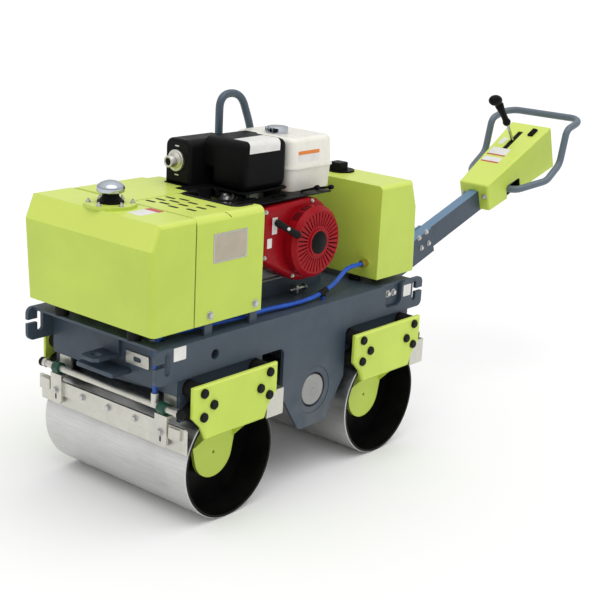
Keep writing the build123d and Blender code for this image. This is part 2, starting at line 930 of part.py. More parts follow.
# Engine: rails, crankcase, finned cylinder, fan cover and recoil starter
with BuildPart() as engine_rails:
    for sign in hands.values():
        block(
            (rail_rear, rail_front),
            (sign * (rail_y - rail_width / 2), sign * (rail_y + rail_width / 2)),
            (side_top, engine_base),
        )
save(engine_rails, "engine_rails")

with BuildPart() as crankcase:
    block((case_rear, case_front), (case_right, case_left), (engine_base, case_top))
    fillet(crankcase.edges().filter_by(Axis.Y), case_round)
    block(
        (case_rear - foot_flange_reach, case_front + foot_flange_reach),
        (-rail_y - rail_width / 2, rail_y + rail_width / 2),
        (engine_base, engine_base + foot_flange),
    )
    with BuildSketch(side(case_right)):
        with Locations((crank_x, crank_z)):
            Circle(shaft_dia / 2)
    extrude(amount=case_right - guard_left)
    for station in (case_rear + fuel_bracket_inset, fuel_front - fuel_bracket_inset):
        block(
            (station - fuel_bracket_thick / 2, station + fuel_bracket_thick / 2),
            (-fuel_bracket_half, fuel_bracket_half),
            (case_top, fuel_bottom),
        )
save(crankcase, "crankcase")

cylinder_cos = cos(radians(cylinder_tilt))
cylinder_sin = sin(radians(cylinder_tilt))


def up_cylinder(reach):
    """Plane square to the cylinder at a distance from the crankshaft."""
    middle = (mid_x + crank_x + cylinder_cos * reach, 0, crank_z + cylinder_sin * reach)
    return Plane(middle, x_dir=(0, 1, 0), z_dir=(cylinder_cos, 0, cylinder_sin))


with BuildPart() as cylinder:
    with BuildSketch(up_cylinder(cylinder_start)):
        RectangleRounded(2 * cylinder_half, 2 * cylinder_half, case_round)
    extrude(amount=cylinder_end - cylinder_start)
    fin_pitch = (cylinder_end - cylinder_start - fin_thick) / fin_count
    for fin in range(fin_count // 2, fin_count + 1):
        with BuildSketch(up_cylinder(cylinder_start + fin * fin_pitch)):
            RectangleRounded(2 * fin_half, 2 * fin_half, case_round)
        extrude(amount=fin_thick)
    block(
        (case_rear, case_front),
        (case_right, case_left),
        (engine_base, case_top),
        mode=Mode.SUBTRACT,
    )
save(cylinder, "cylinder")

fan_face = case_left + fan_depth
with BuildPart() as fan_cover:
    with BuildSketch(side(fan_face)):
        with Locations((crank_x, crank_z)):
            Circle(fan_dia / 2)
        with Locations((fan_snout_front / 2 + crank_x / 2, (fan_snout_low + fan_snout_high) / 2)):
            Rectangle(fan_snout_front - crank_x, fan_snout_high - fan_snout_low)
        make_hull()
    extrude(amount=fan_depth)
    fillet(fan_cover.edges().group_by(Axis.Y)[-1], case_round)
save(fan_cover, "fan_cover")

rope_out = Vector(cos(radians(rope_boss_angle)), 0, sin(radians(rope_boss_angle)))
rope_seat = Vector(mid_x + crank_x, rope_boss_y, crank_z) + rope_out * rope_boss_reach
rope_plane = Plane(rope_seat, x_dir=(0, 1, 0), z_dir=rope_out)
with BuildPart() as recoil:
    with BuildSketch(side(fan_face + recoil_depth)):
        with Locations((crank_x, crank_z)):
            Circle(recoil_dia / 2)
    extrude(amount=recoil_depth)
    chamfer(recoil.edges().group_by(Axis.Y)[-1], recoil_dish)
    with BuildSketch(side(fan_face + recoil_depth)):
        with Locations((crank_x, crank_z)):
            with PolarLocations((recoil_slot_inner + recoil_slot_outer) / 2, recoil_slots):
                Rectangle(recoil_slot_outer - recoil_slot_inner, recoil_slot_width)
    extrude(amount=recoil_slot_depth, mode=Mode.SUBTRACT)
    with BuildSketch(side(fan_face + recoil_depth + emblem_depth)):
        with Locations((crank_x, crank_z)):
            Circle(emblem_dia / 2)
    extrude(amount=emblem_depth)
    with BuildSketch(rope_plane):
        Circle(rope_boss_dia / 2)
    extrude(amount=recoil_dia / 2 - recoil_dish - rope_boss_reach)
save(recoil, "recoil")

# Pull grip at the end of the starter rope, leaning across the rim
grip_middle = rope_seat + rope_out * (grip_stem_length + grip_dia / 2)
grip_way = Vector(*grip_lean).normalized()
with BuildPart() as starter_grip:
    with BuildSketch(Plane(grip_middle - grip_way * grip_length / 2, z_dir=grip_way)):
        Circle(grip_dia / 2)
    extrude(amount=grip_length)
    fillet(starter_grip.edges().filter_by(GeomType.CIRCLE), grip_round)
    with BuildSketch(rope_plane):
        Circle(grip_stem_dia / 2)
    extrude(amount=grip_stem_length + grip_dia / 2)
save(starter_grip, "starter_grip")

# Fuel tank with its pressed seam, and its cap
fuel_middle = ((fuel_rear + fuel_front) / 2, (fuel_right + fuel_left) / 2)
with BuildPart() as fuel_tank:
    for rise in (fuel_top - fuel_seam, fuel_bottom - fuel_seam):
        with BuildSketch(level(fuel_seam)):
            with Locations(fuel_middle):
                RectangleRounded(fuel_front - fuel_rear, fuel_left - fuel_right, fuel_round)
        extrude(amount=rise, taper=fuel_taper)
    fillet(fuel_tank.edges().group_by(Axis.Z)[-1], fuel_crown)
    with BuildSketch(level(fuel_seam)):
        with Locations(fuel_middle):
            RectangleRounded(
                fuel_front - fuel_rear + 2 * fuel_seam_lip,
                fuel_left - fuel_right + 2 * fuel_seam_lip,
                fuel_round + fuel_seam_lip,
            )
    extrude(amount=fuel_seam_thick)
save(fuel_tank, "fuel_tank")

with BuildPart() as fuel_cap:
    with BuildSketch(level(fuel_top)):
        with Locations((fuel_cap_x, 0)):
            Circle(fuel_cap_dia / 2)
    extrude(amount=fuel_cap_height)
    fillet(fuel_cap.edges().group_by(Axis.Z)[-1], cap_round)
save(fuel_cap, "fuel_cap")

# Air cleaner on its tray, with the intake down to the crankcase, and the muffler beside it
tray_top = tray_bottom + tray_thick
with BuildPart() as air_cleaner:
    block((air_rear, air_front), (air_right, air_left), (tray_top, air_top))
    fillet(air_cleaner.edges().filter_by(Axis.Z), air_round)
    fillet(air_cleaner.edges().group_by(Axis.Z)[-1], air_crown)
    block(
        (air_front - recess_depth, air_front),
        (air_right, recess_left),
        (tray_top, recess_top),
        mode=Mode.SUBTRACT,
    )
    block((air_rear, air_front), (air_right, air_left), (tray_bottom, tray_top))
    block((muffler_rear, muffler_front), (muffler_right, air_right), (tray_bottom, tray_top))
    block(
        (air_rear, air_rear + intake_length),
        (case_left - intake_width, case_left),
        (case_top, tray_bottom),
    )
save(air_cleaner, "air_cleaner")

with BuildPart() as muffler:
    block((muffler_rear, muffler_front), (muffler_right, muffler_left), (tray_top, muffler_top))
    fillet(muffler.edges().filter_by(Axis.X).group_by(Axis.Z)[-1], muffler_round)
    fillet(muffler.edges().group_by(Axis.X)[-1], muffler_edge)
    for dia, reach in ((outlet_dia, outlet_thick), (spout_dia, spout_length)):
        with BuildSketch(crosswise(muffler_front)):
            with Locations((outlet_y, outlet_z)):
                Circle(dia / 2)
        extrude(amount=reach)
save(muffler, "muffler")

# Belt guard on the right, over the drive to the exciter
with BuildPart() as belt_guard:
    with BuildSketch(side(guard_left)):
        with Locations(((guard_rear + guard_front) / 2, (side_top + guard_top) / 2)):
            guard = Rectangle(guard_front - guard_rear, guard_top - side_top)
        fillet(guard.vertices().group_by(Axis.Y)[-1], guard_round)
    extrude(amount=guard_left - guard_right)
save(belt_guard, "belt_guard")

# Lifting hoop, one bent tube standing on the deck
with BuildPart() as lifting_hoop:
    with BuildLine(side(hoop_y)) as hoop_line:
        FilletPolyline(
            (hoop_front, side_top),
            (hoop_front, hoop_top - hoop_dia / 2),
            (hoop_front - hoop_crown, hoop_top - hoop_dia / 2),
            (hoop_rear, hoop_shoulder),
            (hoop_rear, side_top),
            radius=[hoop_round, hoop_round, 2 * hoop_round],
        )
    with BuildSketch(level(side_top)):
        with Locations((hoop_front, hoop_y)):
            Circle(hoop_dia / 2)
    sweep(path=hoop_line.line)
save(lifting_hoop, "lifting_hoop")


# Leaning scraper: end plates against the carriers' lower edges and a blade down to the drum
def make_leaning_scraper(axle_x, outward):
    tip = plate_half + end_plate_length
    edge_r = drum_r + lean_clear
    edge = (edge_r * cos(radians(lean_angle)), axle_z + edge_r * sin(radians(lean_angle)))
    with BuildPart() as scraper:
        for sign in hands.values():
            with BuildSketch(wall(sign, plate_inner, plate_inner + end_plate_thick)):
                with BuildLine():
                    Polyline(
                        (axle_x + outward * plate_half, plate_shoulder),
                        (axle_x + outward * tip, plate_shoulder),
                        (axle_x + outward * tip, end_plate_foot),
                        (axle_x + outward * plate_waist_half, end_plate_foot),
                        (axle_x + outward * plate_waist_half, plate_waist),
                        close=True,
                    )
                make_face()
            extrude(amount=end_plate_thick)
        with BuildSketch(side(plate_inner)):
            with BuildLine():
                Polyline(
                    (axle_x + outward * tip, plate_shoulder),
                    (axle_x + outward * edge[0], edge[1] + lean_depth),
                    (axle_x + outward * edge[0], edge[1]),
                    (axle_x + outward * tip, plate_shoulder - lean_depth),
                    close=True,
                )
            make_face()
        extrude(amount=2 * plate_inner)
    return scraper


# Arms bolted behind a cross member, each with a shelf under its pipe clamp
def add_arms(outward, shelf_tip):
    root = outward * cross_near
    for sign in hands.values():
        ys = (sign * (clamp_y - arm_width / 2), sign * (clamp_y + arm_width / 2))
        block((root - outward * arm_thick, root), ys, (arm_shelf - arm_thick, arm_top))
        block((root - outward * arm_thick, shelf_tip), ys, (arm_shelf - arm_thick, arm_shelf))


# Front scrapers: upright blade with its holder strip, held by the arms' lower tabs
blade_back = axles["front"] + plate_half + blade_gap
holder_back = blade_back + blade_thick
holder_face = holder_back + holder_thick
blade_half = drum_width / 2 + blade_overhang
with BuildPart() as scrapers_front:
    block((blade_back, holder_back), (-blade_half, blade_half), (blade_bottom, blade_top))
    block((holder_back, holder_face), (-blade_half, blade_half), (holder_bottom, holder_top))
    add_arms(outwards["front"], holder_face + arm_thick)
    for sign in hands.values():
        with BuildSketch(crosswise(holder_face)):
            with Locations((sign * clamp_y, (arm_foot + arm_shelf) / 2)):
                tab = Rectangle(arm_width, arm_shelf - arm_foot)
            fillet(tab.vertices().group_by(Axis.Y)[0], arm_round)
        extrude(amount=arm_thick)
    add(make_leaning_scraper(axles["front"], -outwards["front"]).part)
save(scrapers_front, "scrapers_front")

with BuildPart() as scrapers_rear:
    add(make_leaning_scraper(axles["rear"], outwards["rear"]).part)
    add_arms(outwards["rear"], axles["rear"] + outwards["rear"] * pipe_reach)
save(scrapers_rear, "scrapers_rear")

# Sprinkler pipes with end plugs, and the clamps that seat them on the arms' shelves
for end, axle_x in axles.items():
    pipe_x = axle_x + outwards[end] * pipe_reach
    with BuildPart() as sprinkler:
        with BuildSketch(side(pipe_half)):
            with Locations((pipe_x, pipe_z)):
                Circle(pipe_dia / 2)
        extrude(amount=2 * pipe_half)
        for sign in hands.values():
            with BuildSketch(wall(sign, pipe_half, pipe_half - plug_length)):
                with Locations((pipe_x, pipe_z)):
                    Circle(plug_dia / 2)
            extrude(amount=plug_length)
        if end == "front":
            with BuildSketch(level(pipe_z)):
                with Locations((pipe_x, hose_drop_y)):
                    Circle(tee_dia / 2)
            extrude(amount=tee_top - pipe_z)
    save(sprinkler, f"sprinkler_{end}")

with BuildPart() as pipe_clamps:
    for end, axle_x in axles.items():
        pipe_x = axle_x + outwards[end] * pipe_reach
        heel = pipe_x - outwards[end] * clamp_r
        for sign in hands.values():
            block(
                (heel, pipe_x),
                (sign * clamp_y - clamp_width / 2, sign * clamp_y + clamp_width / 2),
                (arm_shelf, pipe_z),
            )
            with BuildSketch(side(sign * clamp_y + clamp_width / 2)):
                with Locations((pipe_x, pipe_z)):
                    Circle(clamp_r)
            extrude(amount=clamp_width)
            with BuildSketch(side(sign * clamp_y + clamp_width / 2)):
                with Locations((pipe_x, pipe_z)):
                    Circle(pipe_dia / 2 + clamp_fit)
            extrude(amount=clamp_width, mode=Mode.SUBTRACT)
save(pipe_clamps, "pipe_clamps")

# Water hose: out of the rear tank, along the deck and down to the front pipe
hose_top = side_top + hose_dia
hose_route = [
    (rear_tank_front + fitting_length, fitting_y, fitting_z),
    (rear_tank_front + hose_start_run, fitting_y, fitting_z),
    (hose_dip[0], body_half - hose_dip[1], hose_dip[2]),
    *[(x, body_half - inset, hose_top - hose_sag * (i % 2)) for i, (x, inset) in enumerate(hose_rests)],
    (front_pipe_x - hose_end_run, body_half - hose_end_inset, hose_top - hose_sag),
    (front_pipe_x, hose_drop_y, hose_top),
    (front_pipe_x, hose_drop_y, tee_top),
]


def hose_bends(points, share=0.42):
    """Largest bend at each corner that its two runs leave room for."""
    spots = [Vector(*p) for p in points]
    bends = []
    for before, here, after in zip(spots, spots[1:], spots[2:]):
        turn = radians((here - before).get_angle(after - here))
        shorter = min((here - before).length, (after - here).length)
        bends.append(share * shorter * cos(turn / 2) / sin(turn / 2))
    return bends


with BuildPart() as water_hose:
    with BuildLine(level(0)) as hose_line:
        FilletPolyline(*hose_route, radius=hose_bends(hose_route))
    with BuildSketch(Plane(hose_line.line @ 0, z_dir=hose_line.line % 0)):
        Circle(hose_dia / 2)
    sweep(path=hose_line.line)
save(water_hose, "water_hose")

with BuildPart() as hose_fitting:
    with BuildSketch(crosswise(rear_tank_front)):
        with Locations((fitting_y, fitting_z)):
            RegularPolygon(fitting_dia / 2, 6)
    extrude(amount=fitting_length)
save(hose_fitting, "hose_fitting")

# Hinge pin through the lugs
pin_half = lug_inner + lug_thick
with BuildPart() as hitch_pin:
    with BuildSketch(side(pin_half)):
        with Locations((pivot_x, pivot_z)):
            Circle(pin_dia / 2)
    extrude(amount=2 * pin_half)
    for sign in hands.values():
        with BuildSketch(wall(sign, pin_half, pin_half + pin_head_thick)):
            with Locations((pivot_x, pivot_z)):
                Circle(pin_head_dia / 2)
        extrude(amount=pin_head_thick)
save(hitch_pin, "hitch_pin")

# Drawbar bracket: two cheeks on a bored boss, holding the bar between them
with BuildPart() as drawbar_bracket:
    for sign in hands.values():
        near = sign * bar_width / 2
        far = sign * (bar_width / 2 + cheek_thick)
        with BuildSketch(along_bar(min(near, far))):
            with Locations((cheek_length / 2, (cheek_high - cheek_low) / 2)):
                Rectangle(cheek_length, cheek_high + cheek_low)
            Circle(cheek_high)
            Circle(pin_dia / 2 + pin_fit, mode=Mode.SUBTRACT)
        extrude(amount=cheek_thick)
    with BuildSketch(along_bar(-bar_width / 2)):
        Circle(boss_dia / 2)
        Circle(pin_dia / 2 + pin_fit, mode=Mode.SUBTRACT)
    extrude(amount=bar_width)
save(drawbar_bracket, "drawbar_bracket")

with BuildPart() as drawbar:
    with BuildSketch(across_bar(bar_start)):
        Rectangle(bar_width, bar_height)
        Rectangle(bar_width - 2 * bar_wall, bar_height - 2 * bar_wall, mode=Mode.SUBTRACT)
    extrude(amount=bar_end - bar_start)
save(drawbar, "drawbar")


# Console: tapered sheet box over the bar, open below
def console_section(t, half, top, bottom):
    with BuildSketch(across_bar(t)) as section:
        with Locations((0, (top + bottom) / 2)):
            Rectangle(2 * half, top - bottom)
    return section.sketch


console_slope = (console_rear_top - console_front_top) / (console_rear - console_front)
console_flare = (console_rear_half - console_front_half) / (console_rear - console_front)
with BuildPart() as console:
    outer = [
        console_section(console_front, console_front_half, console_front_top, console_bottom),
        console_section(console_rear, console_rear_half, console_rear_top, console_bottom),
    ]
    loft(sections=outer, ruled=True)
    bent = [e for e in console.edges() if along_bar(0).to_local_coords(e.center()).Y > console_bottom + 1]
    fillet(bent, console_round)
    inner = []
    for t in (console_front + console_wall, console_rear - console_wall):
        run = t - console_front
        half = console_front_half + console_flare * run - console_wall
        top = console_front_top + console_slope * run - console_wall
        inner.append(console_section(t, half, top, console_bottom - console_wall))
    loft(sections=inner, ruled=True, mode=Mode.SUBTRACT)
    with BuildSketch(across_bar(console_front)):
        notch_top = bar_height / 2 + console_fit
        with Locations((0, (notch_top + console_bottom - console_wall) / 2)):
            Rectangle(bar_width + 2 * console_fit, notch_top - console_bottom + console_wall)
    extrude(amount=console_wall, mode=Mode.SUBTRACT)
    with BuildSketch(along_bar(-console_rear_half)):
        opening_front = handle_start - handle_dia / 2 - console_fit
        opening_low = console_bottom - console_wall
        with Locations((opening_front + tube_opening_length / 2, (tube_opening_top + opening_low) / 2)):
            opening = Rectangle(tube_opening_length, tube_opening_top - opening_low)
        fillet(opening.vertices().group_by(Axis.Y)[-1], tube_opening_round)
    extrude(amount=2 * console_rear_half, mode=Mode.SUBTRACT)
    with BuildSketch(along_bar(lever_y - lever_slot_width / 2)):
        slot_middle = (lever_slot_front + lever_slot_rear) / 2
        with Locations((slot_middle, console_rear_top - console_wall)):
            Rectangle(lever_slot_rear - lever_slot_front, console_rear_top - console_front_top)
    extrude(amount=lever_slot_width, mode=Mode.SUBTRACT)
save(console, "console")

# Rocker switch on the console's sloping top
switch_seat = bar_point(switch_t, switch_y, console_front_top + console_slope * (switch_t - console_front))
roof_way = bar_point(1, 0, console_slope) - bar_point(0, 0, 0)
switch_plane = Plane(switch_seat, x_dir=roof_way, z_dir=Vector(0, 1, 0).cross(roof_way))
with BuildPart() as rocker_switch:
    with BuildSketch(switch_plane):
        RectangleRounded(switch_length, switch_width, switch_round)
    extrude(amount=switch_height)
save(rocker_switch, "rocker_switch")

# Handle loop: one bent tube from one side of the bar round to the other
handle_side = [
    bar_point(handle_start, bar_width / 2, 0),
    bar_point(handle_start, handle_sweep[0], 0),
    bar_point(handle_sweep[1], handle_half, 0),
    bar_point(handle_rise[0], handle_half, handle_rise[1]),
    bar_point(handle_shoulder[0], handle_half, handle_shoulder[1]),
    bar_point(handle_back[0], handle_half, handle_back[1]),
]
handle_route = handle_side + [Vector(p.X, -p.Y, p.Z) for p in reversed(handle_side)]
with BuildPart() as handle_loop:
    with BuildLine() as handle_line:
        FilletPolyline(*handle_route, radius=list(handle_bends) + list(reversed(handle_bends)))
    with BuildSketch(Plane(handle_line.line @ 0, z_dir=handle_line.line % 0)):
        Circle(handle_dia / 2)
    sweep(path=handle_line.line)
save(handle_loop, "handle_loop")

# Drive lever: base on the bar, cranked rod and grip
lever_base_middle = bar_height / 2 + lever_base_height / 2
rod_foot = bar_point(lever_foot, lever_y, lever_base_middle)
knee = bar_point(lever_knee[0], lever_y, lever_knee[1])
grip_top = bar_point(lever_tip[0], lever_y, lever_tip[1])
grip_line = (grip_top - knee).normalized()
grip_reach = (grip_top - knee).length
grip_plane = Plane(knee, x_dir=(0, 1, 0), z_dir=Vector(0, 1, 0).cross(grip_line))
with BuildPart() as drive_lever:
    with BuildSketch(along_bar(lever_y - lever_slot_width / 2 + lever_base_clear)):
        with Locations((lever_foot, lever_base_middle)):
            Rectangle(lever_base_length, lever_base_height)
    extrude(amount=lever_slot_width - 2 * lever_base_clear)
    with BuildSketch(Plane(rod_foot, z_dir=knee - rod_foot)):
        Circle(lever_rod_dia / 2)
    extrude(amount=(knee - rod_foot).length + lever_collar_length / 2)
    with BuildSketch(grip_plane):
        with BuildLine():
            head_r = lever_head_dia / 2
            brim = grip_reach - lever_head_bend
            Polyline(
                (0, grip_reach),
                (0, 0),
                (lever_collar_dia / 2, 0),
                (lever_collar_dia / 2, lever_collar_length),
                (lever_grip_dia / 2, lever_collar_length),
                (lever_grip_dia / 2, lever_grip_length),
                (head_r, brim),
            )
            ThreePointArc((head_r, brim), dome_point(head_r, brim, grip_reach), (0, grip_reach))
        make_face()
    revolve(axis=Axis(knee, grip_line))
save(drive_lever, "drive_lever")
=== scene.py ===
"""Looks of the walk-behind tandem roller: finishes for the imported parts, fittings, studio and camera."""

import json
from math import cos, pi, radians, sin

import bmesh
import bpy
from mathutils import Matrix, Vector


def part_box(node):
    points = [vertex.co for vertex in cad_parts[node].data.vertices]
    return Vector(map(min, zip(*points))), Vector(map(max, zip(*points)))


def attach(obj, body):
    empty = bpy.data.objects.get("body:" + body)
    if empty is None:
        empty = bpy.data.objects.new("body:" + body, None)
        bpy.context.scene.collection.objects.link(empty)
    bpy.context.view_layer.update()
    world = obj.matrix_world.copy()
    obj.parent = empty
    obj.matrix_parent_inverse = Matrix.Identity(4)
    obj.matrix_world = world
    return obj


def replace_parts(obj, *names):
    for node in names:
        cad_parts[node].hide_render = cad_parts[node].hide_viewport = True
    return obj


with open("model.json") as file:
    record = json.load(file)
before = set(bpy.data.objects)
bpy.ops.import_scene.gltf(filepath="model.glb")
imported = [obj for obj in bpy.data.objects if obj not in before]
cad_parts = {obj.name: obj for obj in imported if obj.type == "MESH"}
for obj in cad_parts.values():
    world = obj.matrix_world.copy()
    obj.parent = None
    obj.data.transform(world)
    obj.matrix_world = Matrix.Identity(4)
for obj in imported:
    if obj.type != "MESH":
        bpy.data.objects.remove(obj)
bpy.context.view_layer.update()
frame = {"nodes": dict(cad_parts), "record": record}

# Stations along the machine are counted from the middle of the wheelbase, in millimetres
MID_X = 567.2330512677992
MM = 0.001
X_AXIS = Vector((1.0, 0.0, 0.0))
Y_AXIS = Vector((0.0, 1.0, 0.0))
Z_AXIS = Vector((0.0, 0.0, 1.0))
SIDES = (1, -1)

# Camera of the photograph; the eye is in metres
AZIMUTH = radians(129.796)
ELEVATION = radians(16.286)
ROLL = radians(2.934)
LENS = 78.213
SENSOR = 36.0
EYE = (3.43381, 2.62519, 1.65525)

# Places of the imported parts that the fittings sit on, in millimetres
AXLES = (350.0, -350.0)
AXLE_Z = 177.5
DRUM_R = 177.5
BUFFER_SPOTS = ((133.0, 412.0), (133.0, 343.0), (95.0, 371.0))
BUFFER_PLATE_INNER = 248.0
SIDE_OUTER = 272.0
BODY_HALF = 260.0
COVER_TOP = 882.0
FLANGE_X = 540.0
FLANGE_TOP = 891.0
VENT_PITCH = 38.0
VENT_STAGGER = VENT_PITCH / 3.0
PIPE_X = 540.0
PIPE_END = 284.5
PIPE_Z = 357.0
BLADE_FACE = 542.0
SCRAPER_ARM = (550.0, 222.0)
EXCITER = (-43.0, 280.0)
HOSE_DIP = (-160.0, 232.0, 580.0)
HOSE_REST = (-60.0, 238.0, 560.0)
CRANK = (-76.0, 730.0)
CYLINDER_TILT = radians(25.0)
HEAD_FACE = 226.2
FAN_FACE = 188.0
RECOIL_FACE = 233.0
FUEL_SIDE = (0.0, 1.0, 0.07)
PIVOT = (-610.0, 442.5)
BAR_TILT = radians(18.0)
CONSOLE_FRONT = (715.0, 69.0)
CONSOLE_SLOPE = 63.0 / 430.0
LEVER_Y = -12.0

# Places of bolts, as stations and heights or as stations or offsets alone
COVER_BOLTS = ((226.0, 604.0), (408.0, 604.0))
NOTCH_BOLTS = ((-414.0, 512.0), (-444.0, 512.0))
RAIL_BOLTS = (-228.0, 128.0)
BLADE_BOLTS = (-111.0, 0.0, 111.0)
BRACKET_BOLTS = ((-941.0, 595.0), (-899.0, 579.0), (-962.0, 550.0), (-919.0, 539.0))

# Printed film
FILM_THICK = 0.5
FILM_EDGE = 0.2

# Studio: the sky brightens from the horizon to overhead, and the sun is wide and soft
HORIZON_GLOW = 0.50
OVERHEAD_GLOW = 1.05
SUN = 0.95
SUN_SPREAD = radians(60)
SUN_SPOT = Vector((1.0, 1.6, 6.0))
SUN_AIM = Vector((0.4, 0.0, 0.4))
FLOOR_HALF = 60.0

# Surfaces: width of worn edges and pitch of turned rings, in metres
PAINT_EDGE = 0.0022
SMALL_EDGE = 0.0016
RING_PITCH = 0.0011
ORANGE_PEEL = 0.10
SHARP_ANGLE = radians(32)

# Colours, linear
LIME = (0.515, 0.652, 0.085)
# painted highlight: paler lime painted on the faces that look up, where more light falls
LIME_LIT_TOP = (0.69, 0.79, 0.16)
FRAME_BLUE = (0.046, 0.067, 0.093)
BAR_BLUE = (0.040, 0.062, 0.092)
# painted reflection: bluish colour painted on the drawbar's upper faces for the sky they reflect
BAR_SKY_SHEEN = (0.125, 0.235, 0.37)
HANDLE_BLUE = (0.105, 0.140, 0.178)
# painted highlight: a lighter, bluer copy of the frame blue for the lifting hoop
HOOP_BLUE_LIT = (0.058, 0.088, 0.122)
STEEL = (0.56, 0.56, 0.55)
DRUM = (0.62, 0.62, 0.61)
DRUM_INSIDE = (0.0035, 0.0035, 0.0035)
ALLOY = (0.34, 0.34, 0.335)
# painted reflection: the chrome's base is darkened and tinted blue for the sky and dark surroundings it
# reflects
CHROME_SKY_TINT = (0.50, 0.54, 0.60)
RED = (0.30, 0.004, 0.009)
CREAM = (0.83, 0.81, 0.73)
BLACK_RUBBER = (0.007, 0.007, 0.0075)
BLACK_PLASTIC = (0.005, 0.005, 0.0055)
BLACK_METAL = (0.006, 0.006, 0.0065)
ZINC = (0.66, 0.65, 0.59)
GREEN = (0.010, 0.075, 0.048)
HOSE_BLUE = (0.008, 0.075, 0.42)
BRASS = (0.62, 0.43, 0.17)
PAPER = (0.80, 0.79, 0.76)
PLATE_BEIGE = (0.46, 0.40, 0.31)
LABEL_RED = (0.55, 0.03, 0.03)
LABEL_ORANGE = (0.80, 0.22, 0.02)
DUST = (0.30, 0.29, 0.26)
FLOOR_PALE = (0.93, 0.93, 0.93)


# Places


def place(x, y, z):
    """A point from its station, offset and height in millimetres."""
    return Vector(((x + MID_X) * MM, y * MM, z * MM))


head_axis = Vector((cos(CYLINDER_TILT), 0.0, sin(CYLINDER_TILT)))
bar_normal = Vector((sin(BAR_TILT), 0.0, cos(BAR_TILT)))
bar_run = Vector((-cos(BAR_TILT), 0.0, sin(BAR_TILT)))
pivot = place(PIVOT[0], 0.0, PIVOT[1])


def on_head(reach):
    """A point on the cylinder's axis, from its distance to the crankshaft in millimetres."""
    return place(CRANK[0], 0.0, CRANK[1]) + head_axis * reach * MM


def bar_place(t, y, n):
    """A point from its run along the drawbar, offset and height over the bar in millimetres."""
    return pivot + bar_run * t * MM + bar_normal * n * MM + Y_AXIS * y * MM


# Materials


class Shader:
    """A material's node tree with short calls for the nodes it uses."""

    def __init__(self, name):
        self.material = bpy.data.materials.new(name)
        self.material.use_nodes = True
        self.nodes = self.material.node_tree.nodes
        self.links = self.material.node_tree.links
        self.bsdf = self.nodes["Principled BSDF"]
        self.texture = self.nodes.new("ShaderNodeTexCoord")
        self.coords = self.texture.outputs["Object"]

    def link(self, out, socket):
        self.links.new(out, socket)

    def noise(self, scale, detail=3.0, rough=0.55, stretch=None):
        node = self.nodes.new("ShaderNodeTexNoise")
        node.inputs["Scale"].default_value = scale
        node.inputs["Detail"].default_value = detail
        node.inputs["Roughness"].default_value = rough
        if stretch:
            mapping = self.nodes.new("ShaderNodeMapping")
            mapping.inputs["Scale"].default_value = stretch
            self.link(self.coords, mapping.inputs["Vector"])
            self.link(mapping.outputs["Vector"], node.inputs["Vector"])
        else:
            self.link(self.coords, node.inputs["Vector"])
        return node.outputs["Fac"]

    def ramp(self, value, low, high, start=0.0, end=1.0):
        node = self.nodes.new("ShaderNodeMapRange")
        node.inputs["From Min"].default_value = low
        node.inputs["From Max"].default_value = high
        node.inputs["To Min"].default_value = start
        node.inputs["To Max"].default_value = end
        self.link(value, node.inputs["Value"])
        return node.outputs["Result"]

    def product(self, a, b):
        node = self.nodes.new("ShaderNodeMath")
        node.operation = "MULTIPLY"
        node.use_clamp = True
        self.link(a, node.inputs[0])
        self.link(b, node.inputs[1])
        return node.outputs["Value"]

    def mix(self, factor, first, second):
        """Colour mix; first and second are colours or sockets."""
        node = self.nodes.new("ShaderNodeMix")
        node.data_type = "RGBA"
        self.link(factor, node.inputs["Factor"])
        for value, socket in ((first, node.inputs[6]), (second, node.inputs[7])):
            if isinstance(value, tuple):
                socket.default_value = (*value, 1.0)
            else:
                self.link(value, socket)
        return node.outputs[2]

    def vector_math(self, operation, vector):
        """Vector node with its first input linked."""
        node = self.nodes.new("ShaderNodeVectorMath")
        node.operation = operation
        self.link(vector, node.inputs[0])
        return node

    def soft_edges(self, radius):
        """Rounded shading over sharp edges; gives its normal and a mask that is 1 on the edges."""
        bevel = self.nodes.new("ShaderNodeBevel")
        bevel.samples = 4
        bevel.inputs["Radius"].default_value = radius
        geometry = self.nodes.new("ShaderNodeNewGeometry")
        dot = self.vector_math("DOT_PRODUCT", bevel.outputs["Normal"])
        self.link(geometry.outputs["Normal"], dot.inputs[1])
        return bevel.outputs["Normal"], self.ramp(dot.outputs["Value"], 0.995, 0.80)

    def bump(self, height, distance, strength, normal=None):
        node = self.nodes.new("ShaderNodeBump")
        node.inputs["Distance"].default_value = distance
        node.inputs["Strength"].default_value = strength
        self.link(height, node.inputs["Height"])
        if normal is not None:
            self.link(normal, node.inputs["Normal"])
        self.link(node.outputs["Normal"], self.bsdf.inputs["Normal"])

    def along(self, direction, start, end):
        """0 before the start point and 1 after the end point along a direction, in metres."""
        dot = self.vector_math("DOT_PRODUCT", self.coords)
        dot.inputs[1].default_value = direction
        return self.ramp(dot.outputs["Value"], start, end)

    def facing(self, direction, share):
        """A share on the faces that look in a direction, none on the others."""
        dot = self.vector_math("DOT_PRODUCT", self.texture.outputs["Normal"])
        dot.inputs[1].default_value = direction
        return self.ramp(dot.outputs["Value"], 0.10, 0.34, 0.0, share)

    def radius(self, centre):
        """Distance from the axis across the machine through a point."""
        flat = self.vector_math("MULTIPLY", self.coords)
        flat.inputs[1].default_value = (1.0, 0.0, 1.0)
        reach = self.vector_math("DISTANCE", flat.outputs["Vector"])
        reach.inputs[1].default_value = (centre.x, 0.0, centre.z)
        return reach.outputs["Value"]


def tint(colour, factor):
    return tuple(min(1.0, c * factor) for c in colour)


